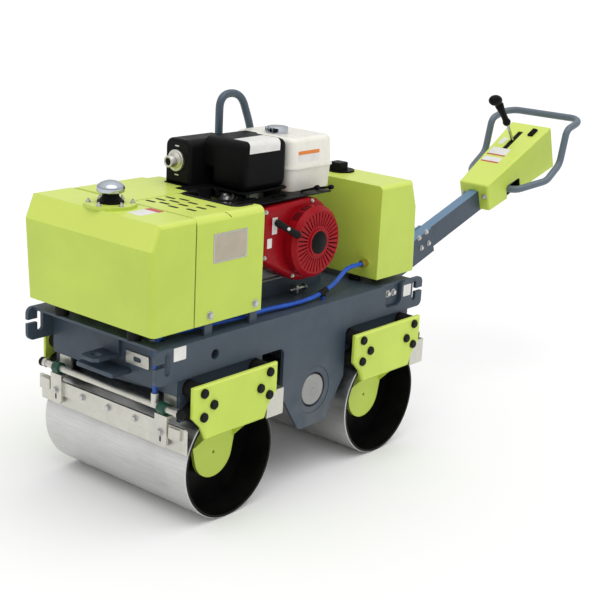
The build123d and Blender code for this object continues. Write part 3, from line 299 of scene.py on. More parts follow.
def painted(name, colour, rough, specular=0.4, coat=0.0, wear=0.25, bare=None, dust=0.0, painted_light=None):
    """Paint on metal: cloudy tone, worn lighter edges and orange peel.

    Dust gathers low down; painted light, where it is given, is a direction, a share and the lighter colour
    painted on the faces that look there: a painted highlight.
    """
    s = Shader(name)
    normal, edge = s.soft_edges(PAINT_EDGE)
    cloud = s.ramp(s.noise(5.0, 4.0), 0.30, 0.70)
    tone = s.mix(cloud, tint(colour, 0.94), tint(colour, 1.05))
    speck = s.ramp(s.noise(160.0, 2.0), 0.62, 0.72, 0.0, 0.25)
    tone = s.mix(speck, tone, tint(colour, 0.82))
    # painted highlight: faces that look in the given direction get the lighter colour
    if painted_light:
        direction, share, painted_sheen = painted_light
        tone = s.mix(s.facing(direction, share), tone, painted_sheen)
    rub = s.ramp(s.noise(38.0, 4.0), 0.42, 0.66, 0.0, wear)
    tone = s.mix(s.product(edge, rub), tone, bare or tint(colour, 1.5))
    if dust:
        low = s.along((0.0, 0.0, -1.0), -0.42, -0.05)
        drift = s.ramp(s.noise(14.0, 5.0), 0.35, 0.70, 0.0, dust)
        tone = s.mix(s.product(low, drift), tone, DUST)
    s.link(tone, s.bsdf.inputs["Base Color"])
    s.link(s.ramp(s.noise(22.0, 3.0), 0.25, 0.75, rough * 0.82, rough * 1.2), s.bsdf.inputs["Roughness"])
    s.bsdf.inputs["Specular IOR Level"].default_value = specular
    s.bsdf.inputs["Coat Weight"].default_value = coat
    s.bsdf.inputs["Coat Roughness"].default_value = 0.10
    s.bump(s.noise(420.0, 2.0), 0.0004, ORANGE_PEEL, normal)
    return s.material


def metal(name, colour, rough, grain, stain=0.2, relief=0.15, rings=None):
    """Bare or plated metal: fine grain, stains and uneven polish, or turned rings round a point."""
    s = Shader(name)
    normal, edge = s.soft_edges(SMALL_EDGE)
    fine = s.noise(grain, 3.0, 0.6)
    if rings:
        turned = s.nodes.new("ShaderNodeMath")
        turned.operation = "PINGPONG"
        turned.inputs[1].default_value = RING_PITCH
        s.link(s.radius(rings), turned.inputs[0])
        ridge = s.ramp(turned.outputs["Value"], 0.0, RING_PITCH, 0.55, 1.0)
        fine = s.product(ridge, s.ramp(fine, 0.2, 0.8, 0.6, 1.0))
    tone = s.mix(s.ramp(fine, 0.30, 0.70), tint(colour, 0.88), tint(colour, 1.06))
    blot = s.ramp(s.noise(9.0, 5.0), 0.45, 0.75, 0.0, stain)
    tone = s.mix(blot, tone, tint(colour, 0.62))
    tone = s.mix(s.ramp(edge, 0.0, 1.0, 0.0, 0.35), tone, tint(colour, 1.25))
    s.link(tone, s.bsdf.inputs["Base Color"])
    s.bsdf.inputs["Metallic"].default_value = 1.0
    s.link(s.ramp(fine, 0.25, 0.75, rough * 0.75, rough * 1.3), s.bsdf.inputs["Roughness"])
    s.bump(fine, 0.0003, relief, normal)
    return s.material


def drum_finish(name, axle):
    """Drum: ground shell with rolling marks round it, near-black inside the open ends."""
    s = Shader(name)
    normal, _ = s.soft_edges(SMALL_EDGE)
    shell = s.ramp(s.radius(axle), (DRUM_R - 3.0) * MM, (DRUM_R - 2.0) * MM)
    fine = s.noise(26.0, 4.0, 0.6, (9.0, 0.35, 9.0))
    bright = s.mix(s.ramp(fine, 0.30, 0.70), tint(DRUM, 0.88), tint(DRUM, 1.06))
    blot = s.ramp(s.noise(7.0, 5.0), 0.48, 0.78, 0.0, 0.3)
    bright = s.mix(blot, bright, tint(DRUM, 0.62))
    streak = s.ramp(s.noise(90.0, 3.0, 0.6, (1.0, 0.12, 1.0)), 0.60, 0.75, 0.0, 0.3)
    bright = s.mix(streak, bright, tint(DRUM, 0.5))
    dark = s.mix(s.ramp(s.noise(18.0, 4.0), 0.35, 0.75), DRUM_INSIDE, tint(DRUM_INSIDE, 2.2))
    s.link(s.mix(shell, dark, bright), s.bsdf.inputs["Base Color"])
    s.link(shell, s.bsdf.inputs["Metallic"])
    s.link(s.ramp(fine, 0.25, 0.75, 0.26, 0.40), s.bsdf.inputs["Roughness"])
    s.bsdf.inputs["Specular IOR Level"].default_value = 0.10
    s.bump(fine, 0.0003, 0.10, normal)
    return s.material


def moulded(name, colour, rough, grain, depth=0.25, specular=0.3, coat=0.0):
    """Rubber or plastic: fine grain, faded patches and scuffed edges."""
    s = Shader(name)
    normal, edge = s.soft_edges(SMALL_EDGE)
    cloud = s.ramp(s.noise(12.0, 4.0), 0.30, 0.72)
    tone = s.mix(cloud, tint(colour, 0.80), tint(colour, 1.35))
    scuff = s.product(edge, s.ramp(s.noise(60.0, 3.0), 0.45, 0.70, 0.0, 0.6))
    tone = s.mix(scuff, tone, tint(colour, 3.0))
    s.link(tone, s.bsdf.inputs["Base Color"])
    s.link(s.ramp(s.noise(45.0, 3.0), 0.25, 0.75, rough * 0.85, rough * 1.15), s.bsdf.inputs["Roughness"])
    s.bsdf.inputs["Specular IOR Level"].default_value = specular
    s.bsdf.inputs["Coat Weight"].default_value = coat
    s.bump(s.noise(grain, 2.0), 0.0004, depth, normal)
    return s.material


def film(name, colour):
    """Printed film: slightly yellowed, thumbed and not quite flat."""
    s = Shader(name)
    cloud = s.ramp(s.noise(30.0, 4.0), 0.30, 0.75)
    s.link(s.mix(cloud, colour, tint(colour, 0.86)), s.bsdf.inputs["Base Color"])
    s.link(s.ramp(s.noise(80.0, 2.0), 0.25, 0.75, 0.28, 0.42), s.bsdf.inputs["Roughness"])
    s.bump(s.noise(90.0, 3.0), 0.0003, 0.12)
    return s.material


def lime(name, brighter=1.0):
    """The machine's lime paint, with a painted highlight: paler on the faces that look up."""
    colour = tint(LIME, brighter)
    painted_sheen = (Z_AXIS, 0.6, LIME_LIT_TOP)
    return painted(name, colour, 0.36, 0.35, coat=0.08, wear=0.18, bare=tint(colour, 1.25), painted_light=painted_sheen)


exciter_axis = place(EXCITER[0], 0.0, EXCITER[1])
# painted reflection of the sky on the faces that look up from the bar
bar_sky_sheen = (bar_normal, 0.85, BAR_SKY_SHEEN)
finish = {
    "lime_paint": lime("lime_finish"),
    # painted light: the drum carriers get a brighter copy of the lime paint to lighten their shaded faces
    "carrier_paint": lime("carrier_lit_finish", 1.12),
    "frame_paint": painted("frame_finish", FRAME_BLUE, 0.46, wear=0.35, bare=(0.20, 0.22, 0.24), dust=0.3),
    "handle_paint": painted("bar_finish", BAR_BLUE, 0.40, wear=0.30, bare=(0.34, 0.36, 0.38), painted_light=bar_sky_sheen),
    "rubber": moulded("rubber_finish", BLACK_RUBBER, 0.62, 260.0, 0.35, 0.16),
    "steel": metal("steel_finish", STEEL, 0.32, 60.0),
    "cast_alloy": metal("alloy_finish", ALLOY, 0.46, 190.0, stain=0.35, relief=0.45),
    "red_paint": painted("red_finish", RED, 0.28, 0.10, coat=0.03, wear=0.12, bare=tint(RED, 1.6)),
    "cream_paint": painted("cream_finish", CREAM, 0.28, coat=0.2, wear=0.10, bare=tint(CREAM, 1.1)),
    "chrome": metal("chrome_finish", CHROME_SKY_TINT, 0.11, 30.0, stain=0.10, relief=0.04),
    "black_plastic": moulded("plastic_finish", BLACK_PLASTIC, 0.38, 520.0, 0.25, 0.06),
    "black_metal": painted("black_metal_finish", BLACK_METAL, 0.42, 0.08, wear=0.4, bare=(0.08, 0.075, 0.07)),
    "galvanised": metal("zinc_finish", ZINC, 0.44, 34.0, stain=0.3),
    "green_paint": painted("green_finish", GREEN, 0.40, wear=0.25),
    "hose_blue": moulded("hose_finish", HOSE_BLUE, 0.34, 300.0, 0.10, coat=0.2),
    "brass": metal("brass_finish", BRASS, 0.30, 50.0),
    "plate": film("plate_beige", PLATE_BEIGE),
    "paper": film("label_white", PAPER),
    "label_red": film("label_red_film", LABEL_RED),
    "label_orange": film("label_orange_film", LABEL_ORANGE),
    "handle_tube": painted("handle_finish", HANDLE_BLUE, 0.34, 0.5, wear=0.30, bare=(0.36, 0.38, 0.40)),
    "hoop_tube": painted("hoop_lit_finish", HOOP_BLUE_LIT, 0.34, 0.5, wear=0.30, bare=(0.28, 0.31, 0.34)),
    "turned_cap": metal("turned_cap_finish", ALLOY, 0.36, 90.0, stain=0.25, rings=exciter_axis),
}
special = {
    "drum_front": drum_finish("drum_front_finish", place(AXLES[0], 0.0, AXLE_Z)),
    "drum_rear": drum_finish("drum_rear_finish", place(AXLES[1], 0.0, AXLE_Z)),
    "handle_loop": finish["handle_tube"],
    "exciter_caps": finish["turned_cap"],
}
for end in ("front", "rear"):
    for hand in ("left", "right"):
        special[f"carrier_{end}_{hand}"] = finish["carrier_paint"]

for row in frame["record"]["subparts"]:
    node = frame["nodes"][row["node"]]
    node.data.materials.clear()
    node.data.materials.append(special.get(row["node"]) or finish[row["material_slot"]])


# Seats: local z stands off the surface a fitting sits on


def seat(origin, normal, along):
    """Frame at a point with its z along a normal and its x near another direction."""
    z = Vector(normal).normalized()
    x = Vector(along)
    x = (x - z * x.dot(z)).normalized()
    matrix = Matrix((x, z.cross(x), z)).transposed().to_4x4()
    matrix.translation = origin
    return matrix


def looking_up(x, y, z):
    """Seat on a level face, its x forward."""
    return seat(place(x, y, z), Z_AXIS, X_AXIS)


def looking_out(x, y, z, sign=1):
    """Seat on a face that looks to the left, or to the right with sign -1; its x is forward."""
    return seat(place(x, y, z), Y_AXIS * sign, X_AXIS)


def looking_ahead(x, y, z):
    """Seat on a face that looks forward, its x to the left."""
    return seat(place(x, y, z), X_AXIS, Y_AXIS)


def upright(y):
    """Frame on an upright plane along the machine: local x runs back, local y up, z to the left."""
    return seat(place(0.0, y, 0.0), Y_AXIS, -X_AXIS)


def on_console(t, y):
    """Frame on the console's sloping top; local x runs back along the bar."""
    n = CONSOLE_FRONT[1] + CONSOLE_SLOPE * (t - CONSOLE_FRONT[0])
    normal = bar_normal - bar_run * CONSOLE_SLOPE
    return seat(bar_place(t, y, n), normal, bar_run + bar_normal * CONSOLE_SLOPE)


# Meshes, in millimetres from their seats


def bridge(bm, low, high):
    """Faces between two rings of equal length."""
    for i in range(len(low)):
        j = (i + 1) % len(low)
        bm.faces.new((low[i], low[j], high[j], high[i]))


def flat_ring(bm, matrix, points, height):
    """Vertices of an outline at a height over its seat."""
    return [bm.verts.new(matrix @ Vector((x * MM, y * MM, height * MM))) for x, y in points]


def strip(bm, rows):
    """Closed bar through rows of four vertices, the inner two before the outer two."""
    for here, ahead in zip(rows, rows[1:]):
        for i, j in ((0, 1), (1, 3), (3, 2), (2, 0)):
            bm.faces.new((here[i], here[j], ahead[j], ahead[i]))
    for last in (rows[0], rows[-1]):
        bm.faces.new((last[0], last[1], last[3], last[2]))


def lathe(bm, matrix, profile, segments):
    """Turned shape from (radius, height) pairs; a zero radius closes an end."""
    rings = []
    for radius, height in profile:
        if radius == 0:
            rings.append([bm.verts.new(matrix @ Vector((0, 0, height * MM)))])
        else:
            turns = [2 * pi * i / segments for i in range(segments)]
            rings.append(flat_ring(bm, matrix, [(radius * cos(a), radius * sin(a)) for a in turns], height))
    for low, high in zip(rings, rings[1:]):
        for i in range(segments):
            j = (i + 1) % segments
            corners = [low[i % len(low)], low[j % len(low)], high[j % len(high)], high[i % len(high)]]
            bm.faces.new(list(dict.fromkeys(corners)))


def rounded(width, height, radius, steps=4):
    """Outline of a rectangle with round corners."""
    points = []
    for turn, (sx, sy) in enumerate(((1, 1), (-1, 1), (-1, -1), (1, -1))):
        for k in range(steps + 1):
            a = pi / 2 * (turn + k / steps)
            cx, cy = sx * (width / 2 - radius), sy * (height / 2 - radius)
            points.append((cx + radius * cos(a), cy + radius * sin(a)))
    return points


def bend(start, corner, end, steps):
    """Points of a smooth bend from start to end round a corner."""
    shares = [k / steps for k in range(steps + 1)]
    return [start * (1 - u) ** 2 + corner * 2 * u * (1 - u) + end * u ** 2 for u in shares]


def filleted(corners, steps=6):
    """Closed outline from corners given as (x, y, radius)."""
    points = []
    for i, (x, y, radius) in enumerate(corners):
        here = Vector((x, y))
        before = (Vector(corners[i - 1][:2]) - here).normalized()
        after = (Vector(corners[(i + 1) % len(corners)][:2]) - here).normalized()
        points += [tuple(spot) for spot in bend(here + before * radius, here, here + after * radius, steps)]
    return points


def inset(points, depth):
    """Outline moved inwards by a depth."""
    middle = Vector((sum(p[0] for p in points), sum(p[1] for p in points))) / len(points)
    moved = []
    for i, point in enumerate(points):
        run = Vector(points[(i + 1) % len(points)]) - Vector(points[i - 1])
        across = Vector((-run.y, run.x)).normalized()
        if across.dot(middle - Vector(point)) < 0:
            across = -across
        moved.append((point[0] + across.x * depth, point[1] + across.y * depth))
    return moved


def loops_to_solid(bm, matrix, loops):
    """Closed solid through outlines of equal length given as (points, height)."""
    rings = [flat_ring(bm, matrix, points, height) for points, height in loops]
    for low, high in zip(rings, rings[1:]):
        bridge(bm, low, high)
    bm.faces.new(list(reversed(rings[0])))
    bm.faces.new(rings[-1])


def pad(bm, matrix, width, height, radius, thick, edge=0.3):
    """Flat plate with round corners and a chamfered face."""
    outer = rounded(width, height, radius)
    inner = rounded(width - 2 * edge, height - 2 * edge, max(radius - edge, 0.05))
    loops_to_solid(bm, matrix, [(outer, 0.0), (outer, thick - edge), (inner, thick)])


def holed_pad(bm, matrix, outer, inner, thick):
    """Flat plate with one opening; both outlines have the same number of points."""
    loops = ((outer, 0.0), (outer, thick), (inner, thick), (inner, 0.0))
    rings = [flat_ring(bm, matrix, points, height) for points, height in loops]
    for low, high in zip(rings, rings[1:] + rings[:1]):
        bridge(bm, low, high)


def soft_block(bm, matrix, outline, depth, edge, steps=4):
    """Solid of an outline with a rounded rim at its far end."""
    loops = [(outline, 0.0)]
    for k in range(steps + 1):
        a = pi / 2 * k / steps
        loops.append((inset(outline, edge * (1 - cos(a))), depth - edge * (1 - sin(a))))
    loops.append((inset(outline, edge + 1.5), depth))
    loops_to_solid(bm, matrix, loops)


def bent_path(points, radius, steps=5):
    """Points of an open path in metres with its corners turned into bends."""
    out = [points[0]]
    for before, corner, after in zip(points, points[1:], points[2:]):
        into, away = (before - corner).normalized(), (after - corner).normalized()
        reach = min(radius * MM, (before - corner).length / 2, (after - corner).length / 2)
        out += bend(corner + into * reach, corner, corner + away * reach, steps)
    out.append(points[-1])
    return out


def tube(bm, points, radius, segments=10):
    """Round rod along a path of points in metres, its ends closed."""
    rings = []
    side = None
    for i, point in enumerate(points):
        ahead = points[min(i + 1, len(points) - 1)] - points[max(i - 1, 0)]
        ahead.normalize()
        if side is None:
            side = ahead.orthogonal().normalized()
        side = (side - ahead * side.dot(ahead)).normalized()
        other = ahead.cross(side)
        ring = []
        for k in range(segments):
            a = 2 * pi * k / segments
            ring.append(bm.verts.new(point + (side * cos(a) + other * sin(a)) * radius * MM))
        rings.append(ring)
    for low, high in zip(rings, rings[1:]):
        bridge(bm, low, high)
    bm.faces.new(list(reversed(rings[0])))
    bm.faces.new(rings[-1])


def piece(name, bm, surface, body="chassis"):
    """Makes the object of a finished mesh, smooth but for its edges, and seats it on its body."""
    bmesh.ops.remove_doubles(bm, verts=bm.verts, dist=1e-7)
    bmesh.ops.recalc_face_normals(bm, faces=bm.faces)
    mesh = bpy.data.meshes.new(name)
    bm.to_mesh(mesh)
    bm.free()
    mesh.polygons.foreach_set("use_smooth", [True] * len(mesh.polygons))
    mesh.set_sharp_from_angle(angle=SHARP_ANGLE)
    mesh.materials.append(finish[surface])
    obj = bpy.data.objects.new(name, mesh)
    bpy.context.scene.collection.objects.link(obj)
    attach(obj, body)
    return obj


# Fasteners


def hex_bolt(bm, matrix, radius, stud=0.0):
    """Washer and hexagon head, with the end of a stud through it if it has one."""
    rim, top = radius * 1.35, radius * 0.22
    washer = [(0, 0), (rim, 0), (rim, top * 0.8), (radius * 1.28, top), (0, top)]
    lathe(bm, matrix, washer, 20)
    foot, crown = top * 0.9, top + radius * 0.72
    head = [(0, foot), (radius, foot), (radius, crown * 0.86), (radius * 0.86, crown), (0, crown)]
    lathe(bm, matrix, head, 6)
    if stud:
        shank, root = radius * 0.52, crown * 0.9
        end = [(0, root), (shank, root), (shank, stud - 1.0), (shank * 0.8, stud), (0, stud)]
        lathe(bm, matrix, end, 12)


def chassis_fasteners():
    """Bolts of the cover, buffers, scrapers, engine rails, notch plates and tank flange."""
    bm = bmesh.new()
    for sign in SIDES:
        for x, z in COVER_BOLTS:
            hex_bolt(bm, looking_out(x, sign * BODY_HALF, z, sign), 9.0)
        for axle in AXLES:
            for dx, z in BUFFER_SPOTS:
                for turn in SIDES:
                    nut = looking_out(axle + turn * dx, sign * BUFFER_PLATE_INNER, z, -sign)
                    hex_bolt(bm, nut, 11.0, stud=17.0)
        hex_bolt(bm, looking_ahead(SCRAPER_ARM[0], sign * SCRAPER_ARM[1], 290.0), 8.5)
        for x in RAIL_BOLTS:
            hex_bolt(bm, looking_up(x, sign * 85.0, 595.0), 9.0, stud=16.0)
        for x, z in NOTCH_BOLTS:
            hex_bolt(bm, looking_out(x, sign * 257.0, z, sign), 9.0)
    for y in BLADE_BOLTS:
        hex_bolt(bm, looking_ahead(BLADE_FACE, y, 295.0), 8.5)
    count, circle = 6, 60.0
    for k in range(count):
        a = 2 * pi / count * k + 0.3
        nut = looking_up(FLANGE_X + circle * cos(a), circle * sin(a), FLANGE_TOP)
        hex_bolt(bm, nut, 6.0, stud=11.0)
    piece("chassis_fasteners", bm, "steel")


def engine_screws():
    """Screws round the recoil and at the front of the fan cover."""
    bm = bmesh.new()
    circle = 118.5
    for degrees in (98.0, 170.0, 222.0, 300.0):
        a = radians(degrees)
        hex_bolt(bm, looking_out(CRANK[0] + circle * cos(a), FAN_FACE, CRANK[1] + circle * sin(a)), 5.0)
    for z in (702.0, 838.0):
        hex_bolt(bm, looking_out(112.0, FAN_FACE, z), 5.0)
    piece("engine_screws", bm, "steel")


def drawbar_fasteners():
    """Bolts of the bar in its bracket and studs at the console's front."""
    bm = bmesh.new()
    for sign in SIDES:
        for x, z in BRACKET_BOLTS:
            hex_bolt(bm, looking_out(x, sign * 28.0, z, sign), 7.5)
        nut = seat(bar_place(CONSOLE_FRONT[0], sign * 46.0, 22.0), -bar_run, Y_AXIS)
        hex_bolt(bm, nut, 8.0, stud=14.0)
    piece("drawbar_fasteners", bm, "steel", "drawbar")


# Labels and plates, all blank


def label(bm, matrix, width, height, radius):
    """Film stuck on a seat."""
    pad(bm, matrix, width, height, radius, FILM_THICK, FILM_EDGE)


def chassis_labels():
    """Labels on the side plates, front tank, fan cover and fuel tank, two of them with a colour band."""
    bm = bmesh.new()
    for sign in SIDES:
        label(bm, looking_out(531.0, sign * SIDE_OUTER, 524.0, sign), 46.0, 38.0, 2.0)
        label(bm, looking_out(-500.0, sign * SIDE_OUTER, 512.0, sign), 40.0, 38.0, 2.0)
    label(bm, looking_up(530.0, 115.0, COVER_TOP), 64.0, 54.0, 2.0)
    label(bm, looking_out(73.0, FAN_FACE, 793.0), 22.0, 50.0, 1.5)
    label(bm, looking_out(93.0, FAN_FACE, 743.0), 20.0, 29.0, 1.5)
    label(bm, seat(place(-152.0, 117.7, 961.5), FUEL_SIDE, X_AXIS), 98.0, 20.0, 1.5)
    piece("chassis_labels", bm, "paper")
    bm = bmesh.new()
    label(bm, looking_up(486.0, 115.0, COVER_TOP), 23.0, 54.0, 1.0)
    piece("tank_label_band", bm, "label_red")
    bm = bmesh.new()
    label(bm, seat(place(-152.0, 116.6, 977.5), FUEL_SIDE, X_AXIS), 98.0, 11.0, 1.0)
    piece("fuel_label_band", bm, "label_orange")


def air_cleaner_label():
    """Film folded over the round upper edge of the air cleaner."""
    side_y, top_z, fold, thick = 114.3, 1030.3, 18.3, 0.25
    line = [(42.0, top_z), (side_y - fold, top_z)]
    for k in range(1, 7):
        a = pi / 2 * (1 - k / 6)
        line.append((side_y - fold + fold * cos(a), top_z - fold + fold * sin(a)))
    line.append((side_y, 996.0))
    back = [(y - thick, z - thick) for y, z in line]
    last = len(line) - 1
    shares = [i / last for i in range(len(line))]
    bm = bmesh.new()
    rows = []
    for x_top, x_low in ((104.0, 112.0), (-26.0, -20.0)):
        row = []
        for (y, z), share in zip(line + back[::-1], shares + shares[::-1]):
            row.append(bm.verts.new(place(x_top + (x_low - x_top) * share, y, z)))
        rows.append(row)
    bridge(bm, rows[0], rows[1])
    for row in rows:
        for i in range(last):
            bm.faces.new((row[i], row[i + 1], row[-2 - i], row[-1 - i]))
    piece("air_cleaner_label", bm, "paper")


def data_plate():
    """Beige plate with a raised border and four rivets on the engine cover."""
    middle = looking_out(335.0, BODY_HALF, 789.5)
    bm = bmesh.new()
    pad(bm, middle, 134.0, 83.0, 3.0, 0.8)
    piece("data_plate", bm, "plate")
    bm = bmesh.new()
    holed_pad(bm, middle, rounded(131.0, 80.0, 2.5), rounded(126.0, 75.0, 2.0), 1.3)
    rivet = [(0, 0.5), (3.2, 0.5), (3.0, 1.6), (1.8, 2.4), (0, 2.6)]
    for x in (-60.0, 60.0):
        for y in (-34.5, 34.5):
            lathe(bm, middle @ Matrix.Translation((x * MM, y * MM, 0.0)), rivet, 12)
    piece("data_plate_border", bm, "steel")


def console_labels():
    """Labels on the console's top, two of them with a red band."""
    bm = bmesh.new()
    label(bm, on_console(938.0, -21.0), 44.0, 80.0, 1.5)
    label(bm, on_console(882.0, -20.0), 28.0, 78.0, 1.5)
    label(bm, on_console(1008.0, -47.0), 44.0, 22.0, 1.5)
    piece("console_labels", bm, "paper", "drawbar")
    bm = bmesh.new()
    label(bm, on_console(912.0, -21.0), 7.0, 80.0, 1.0)
    label(bm, on_console(864.0, -20.0), 7.0, 78.0, 1.0)
    piece("console_label_bands", bm, "label_red", "drawbar")


# Fittings


def cover_trim():
    """Rubber edge round the cut-out in the engine cover."""
    left, right, front, back, low = 222.0, 2.0, 278.0, 202.0, 824.0
    corners = [
        place(back, right, low),
        place(back, right, COVER_TOP),
        place(front, right, COVER_TOP),
        place(front, left, COVER_TOP),
        place(back, left, COVER_TOP),
        place(back, left, low),
    ]
    bm = bmesh.new()
    tube(bm, bent_path(corners, 24.0, 6), 4.5, 10)
    piece("cover_trim", bm, "rubber")


def recoil_trim():
    """Black sheet behind the recoil's slots and black strips for the vents over its rim, painted shade in the
    openings, and the bare emblem.
    """
    hub = looking_out(CRANK[0], 0.0, CRANK[1])
    floor, face = RECOIL_FACE - 5.6, RECOIL_FACE + 4.0
    back = floor - 0.2
    bm = bmesh.new()
    # painted shade: black sheet behind the slots
    lathe(bm, hub, [(49.0, back), (49.0, floor), (93.0, floor), (93.0, back), (49.0, back)], 72)
    lathe(bm, hub, [(0, face), (35.0, face), (35.0, face + 0.6), (34.2, face + 1.0), (0, face + 1.0)], 48)
    # painted shade: black strips for the vent openings
    for y in (197.0, 205.0, 213.0):
        for first in (42.0, 64.0):
            rows = []
            for k in range(5):
                a = radians(first + 18.0 * k / 4)
                row = []
                for r in (108.6, 109.5):
                    for shift in (-2.3, 2.3):
                        spot = place(CRANK[0] + r * cos(a), y + shift, CRANK[1] + r * sin(a))
                        row.append(bm.verts.new(spot))
                rows.append(row)
            strip(bm, rows)
    piece("recoil_trim", bm, "black_plastic")


def muffler_outlet():
    """Bright flange and open spout on the muffler's front, with a light pad over and under it, a painted
    highlight of the louvres there.
    """
    face, side, middle = 190.0, -104.0, 954.0
    profile = [
        (0, 0.0), (32.5, 0.0), (32.5, 7.0), (31.0, 9.0), (24.0, 9.4), (22.0, 12.0), (18.0, 14.0),
        (17.8, 36.0), (16.8, 37.6), (12.0, 37.6), (11.2, 36.4), (11.0, 35.0), (0, 34.6),
    ]
    bm = bmesh.new()
    lathe(bm, looking_ahead(face, side, middle), profile, 40)
    # painted highlight: light pads where the louvres glint
    for rise in (-43.0, 43.0):
        pad(bm, looking_ahead(face, side, middle + rise), 17.0, 4.0, 1.8, 1.2)
    piece("muffler_outlet", bm, "galvanised")


def fuel_cap_ribs():
    """Grip ribs round the fuel cap."""
    count, reach = 18, 33.0
    bm = bmesh.new()
    for k in range(count):
        a = 2 * pi * k / count
        out = Vector((cos(a), sin(a), 0.0))
        spot = place(-135.0 + reach * out.x, -5.0 + reach * out.y, 1032.0)
        pad(bm, seat(spot, out, Z_AXIS), 14.0, 4.6, 2.0, 2.2, 0.8)
    piece("fuel_cap_ribs", bm, "chrome")


def air_cleaner():
    """Air cleaner housing with a rounded brow, its tray, intake and snorkel."""
    rear, front, top, foot, tray = 56.0, -132.0, 1030.0, 884.0, 878.0
    bm = bmesh.new()
    body = [(rear, foot, 30.0), (rear, top, 30.0), (front, top, 32.0), (front, foot, 30.0)]
    soft_block(bm, upright(-9.0), filleted(body), 123.0, 18.0)
    arch = [(rear, 938.0, 4.0), (rear, top, 14.0), (front, top, 32.0), (front, 938.0, 12.0)]
    soft_block(bm, upright(-49.5), filleted(arch), 40.5, 0.2, 1)
    pad(bm, looking_up(38.0, 35.0, tray), 194.0, 164.0, 10.0, 6.0, 1.0)
    pad(bm, looking_up(105.0, -101.0, tray), 178.0, 114.0, 10.0, 6.0, 1.0)
    pad(bm, looking_up(-31.0, 81.0, 790.0), 50.0, 38.0, 8.0, 88.0, 1.0)
    snorkel = [
        (0, 0), (15.0, 0), (15.0, 27.0), (13.8, 28.5), (11.5, 28.5), (11.0, 27.0), (11.0, 8.0), (0, 8.0),
    ]
    lathe(bm, looking_ahead(120.0, 5.0, 871.0), snorkel, 28)
    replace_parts(piece("air_cleaner_housing", bm, "black_plastic"), "air_cleaner")


def engine_controls():
    """Control plate over the fan cover with its posts and levers."""
    plate, lever_y = 862.0, 140.0
    bm = bmesh.new()
    pad(bm, looking_up(-14.0, 152.0, plate), 364.0, 60.0, 12.0, 3.0, 0.8)
    for x in (-76.0, 60.0):
        lathe(bm, looking_up(x, 150.0, plate - 16.0), [(0, 0), (5.0, 0), (5.0, 17.0), (0, 17.0)], 14)
    knob = [(0, -6.0), (4.5, -5.0), (7.5, 0), (7.5, 9.0), (5.0, 12.5), (0, 13.0)]
    for x, lift, reach in ((-170.0, 8.0, 40.0), (-96.0, 16.0, 46.0), (40.0, 10.0, 36.0)):
        foot, start = place(x, lever_y, plate + 2.0), place(x, lever_y, plate + 6.0)
        end = place(x - 12.0, lever_y + reach, plate + 6.0 + lift)
        tube(bm, [foot, start, (start + end) / 2, end], 3.4, 10)
        lathe(bm, seat(end, end - start, Z_AXIS), knob, 16)
    piece("engine_controls", bm, "black_metal")


def head_cover():
    """Cover on the cylinder head with a screw at each corner."""
    root = on_head(HEAD_FACE)
    bm = bmesh.new()
    pad(bm, seat(root, head_axis, Y_AXIS), 98.0, 96.0, 16.0, 16.0, 5.0)
    for y in (-38.0, 38.0):
        for rise in (-37.0, 37.0):
            spot = root + Y_AXIS * y * MM + head_axis.cross(Y_AXIS) * rise * MM + head_axis * 15.5 * MM
            hex_bolt(bm, seat(spot, head_axis, Y_AXIS), 5.0)
    piece("head_cover", bm, "steel")


def starter_grip():
    """Rubber pull grip of the recoil, thick at its ends, with a pale spot at its middle."""
    lean = Vector((-68.0, 52.0, -50.0)).normalized()
    low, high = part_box("starter_grip")
    middle = (Vector(low) + Vector(high)) / 2
    across = seat(middle, lean, Y_AXIS) @ Matrix.Diagonal((0.78, 1.0, 1.0, 1.0))
    half = [(9.8, 0), (10.4, 16.0), (11.5, 31.0), (10.5, 39.0), (7.0, 44.0), (0, 45.0)]
    bm = bmesh.new()
    lathe(bm, across, [(radius, -height) for radius, height in half[:0:-1]] + half, 24)
    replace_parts(piece("starter_pull", bm, "rubber"), "starter_grip")
    bm = bmesh.new()
    out = seat(middle, Vector((0.6, 0.7, 0.35)).cross(lean).cross(-lean), lean)
    lathe(bm, out, [(0, 4.0), (5.0, 4.0), (5.0, 9.0), (3.4, 11.4), (0, 12.0)], 16)
    piece("starter_pale_spot", bm, "paper")


def lifting_hoop():
    """Bent tube to the right of the engine."""
    side_y, front, rear, top, deck = -150.0, -32.0, -184.0, 1128.0, 546.0
    corners = [
        place(front, side_y, deck),
        place(front, side_y, top),
        place(-126.0, side_y, top),
        place(rear, side_y, 996.0),
        place(rear, side_y, deck),
    ]
    bm = bmesh.new()
    tube(bm, bent_path(corners, 56.0, 10), 12.4, 24)
    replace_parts(piece("hoop_tube", bm, "hoop_tube"), "lifting_hoop")


def cover_shade_sheets_and_slit():
    """Black sheet in the joint of tank and cover and black baffle under the vents, painted shade in the gap
    and the vent holes, and the latch slit.
    """
    bm = bmesh.new()
    # painted shade: a black sheet fills the joint, where there is only a shadowed gap
    pad(bm, looking_ahead(466.3, 0.0, 731.0), 515.0, 298.0, 18.0, 3.4)
    # painted shade: a black sheet under the vent field darkens the holes
    pad(bm, looking_up(376.0, 100.0, 868.0), 130.0, 216.0, 4.0, 2.0)
    rows = []
    for k in range(7):
        a = radians(22.0 + 52.0 * k / 6)
        row = []
        for r in (21.0, 22.3):
            for shift in (-1.4, 1.4):
                spot = place(333.0 + 12.0 * k / 6 + shift, 238.0 + r * cos(a), 860.0 + r * sin(a))
                row.append(bm.verts.new(spot))
        rows.append(row)
    strip(bm, rows)
    piece("cover_shade_sheets_and_slit", bm, "rubber")


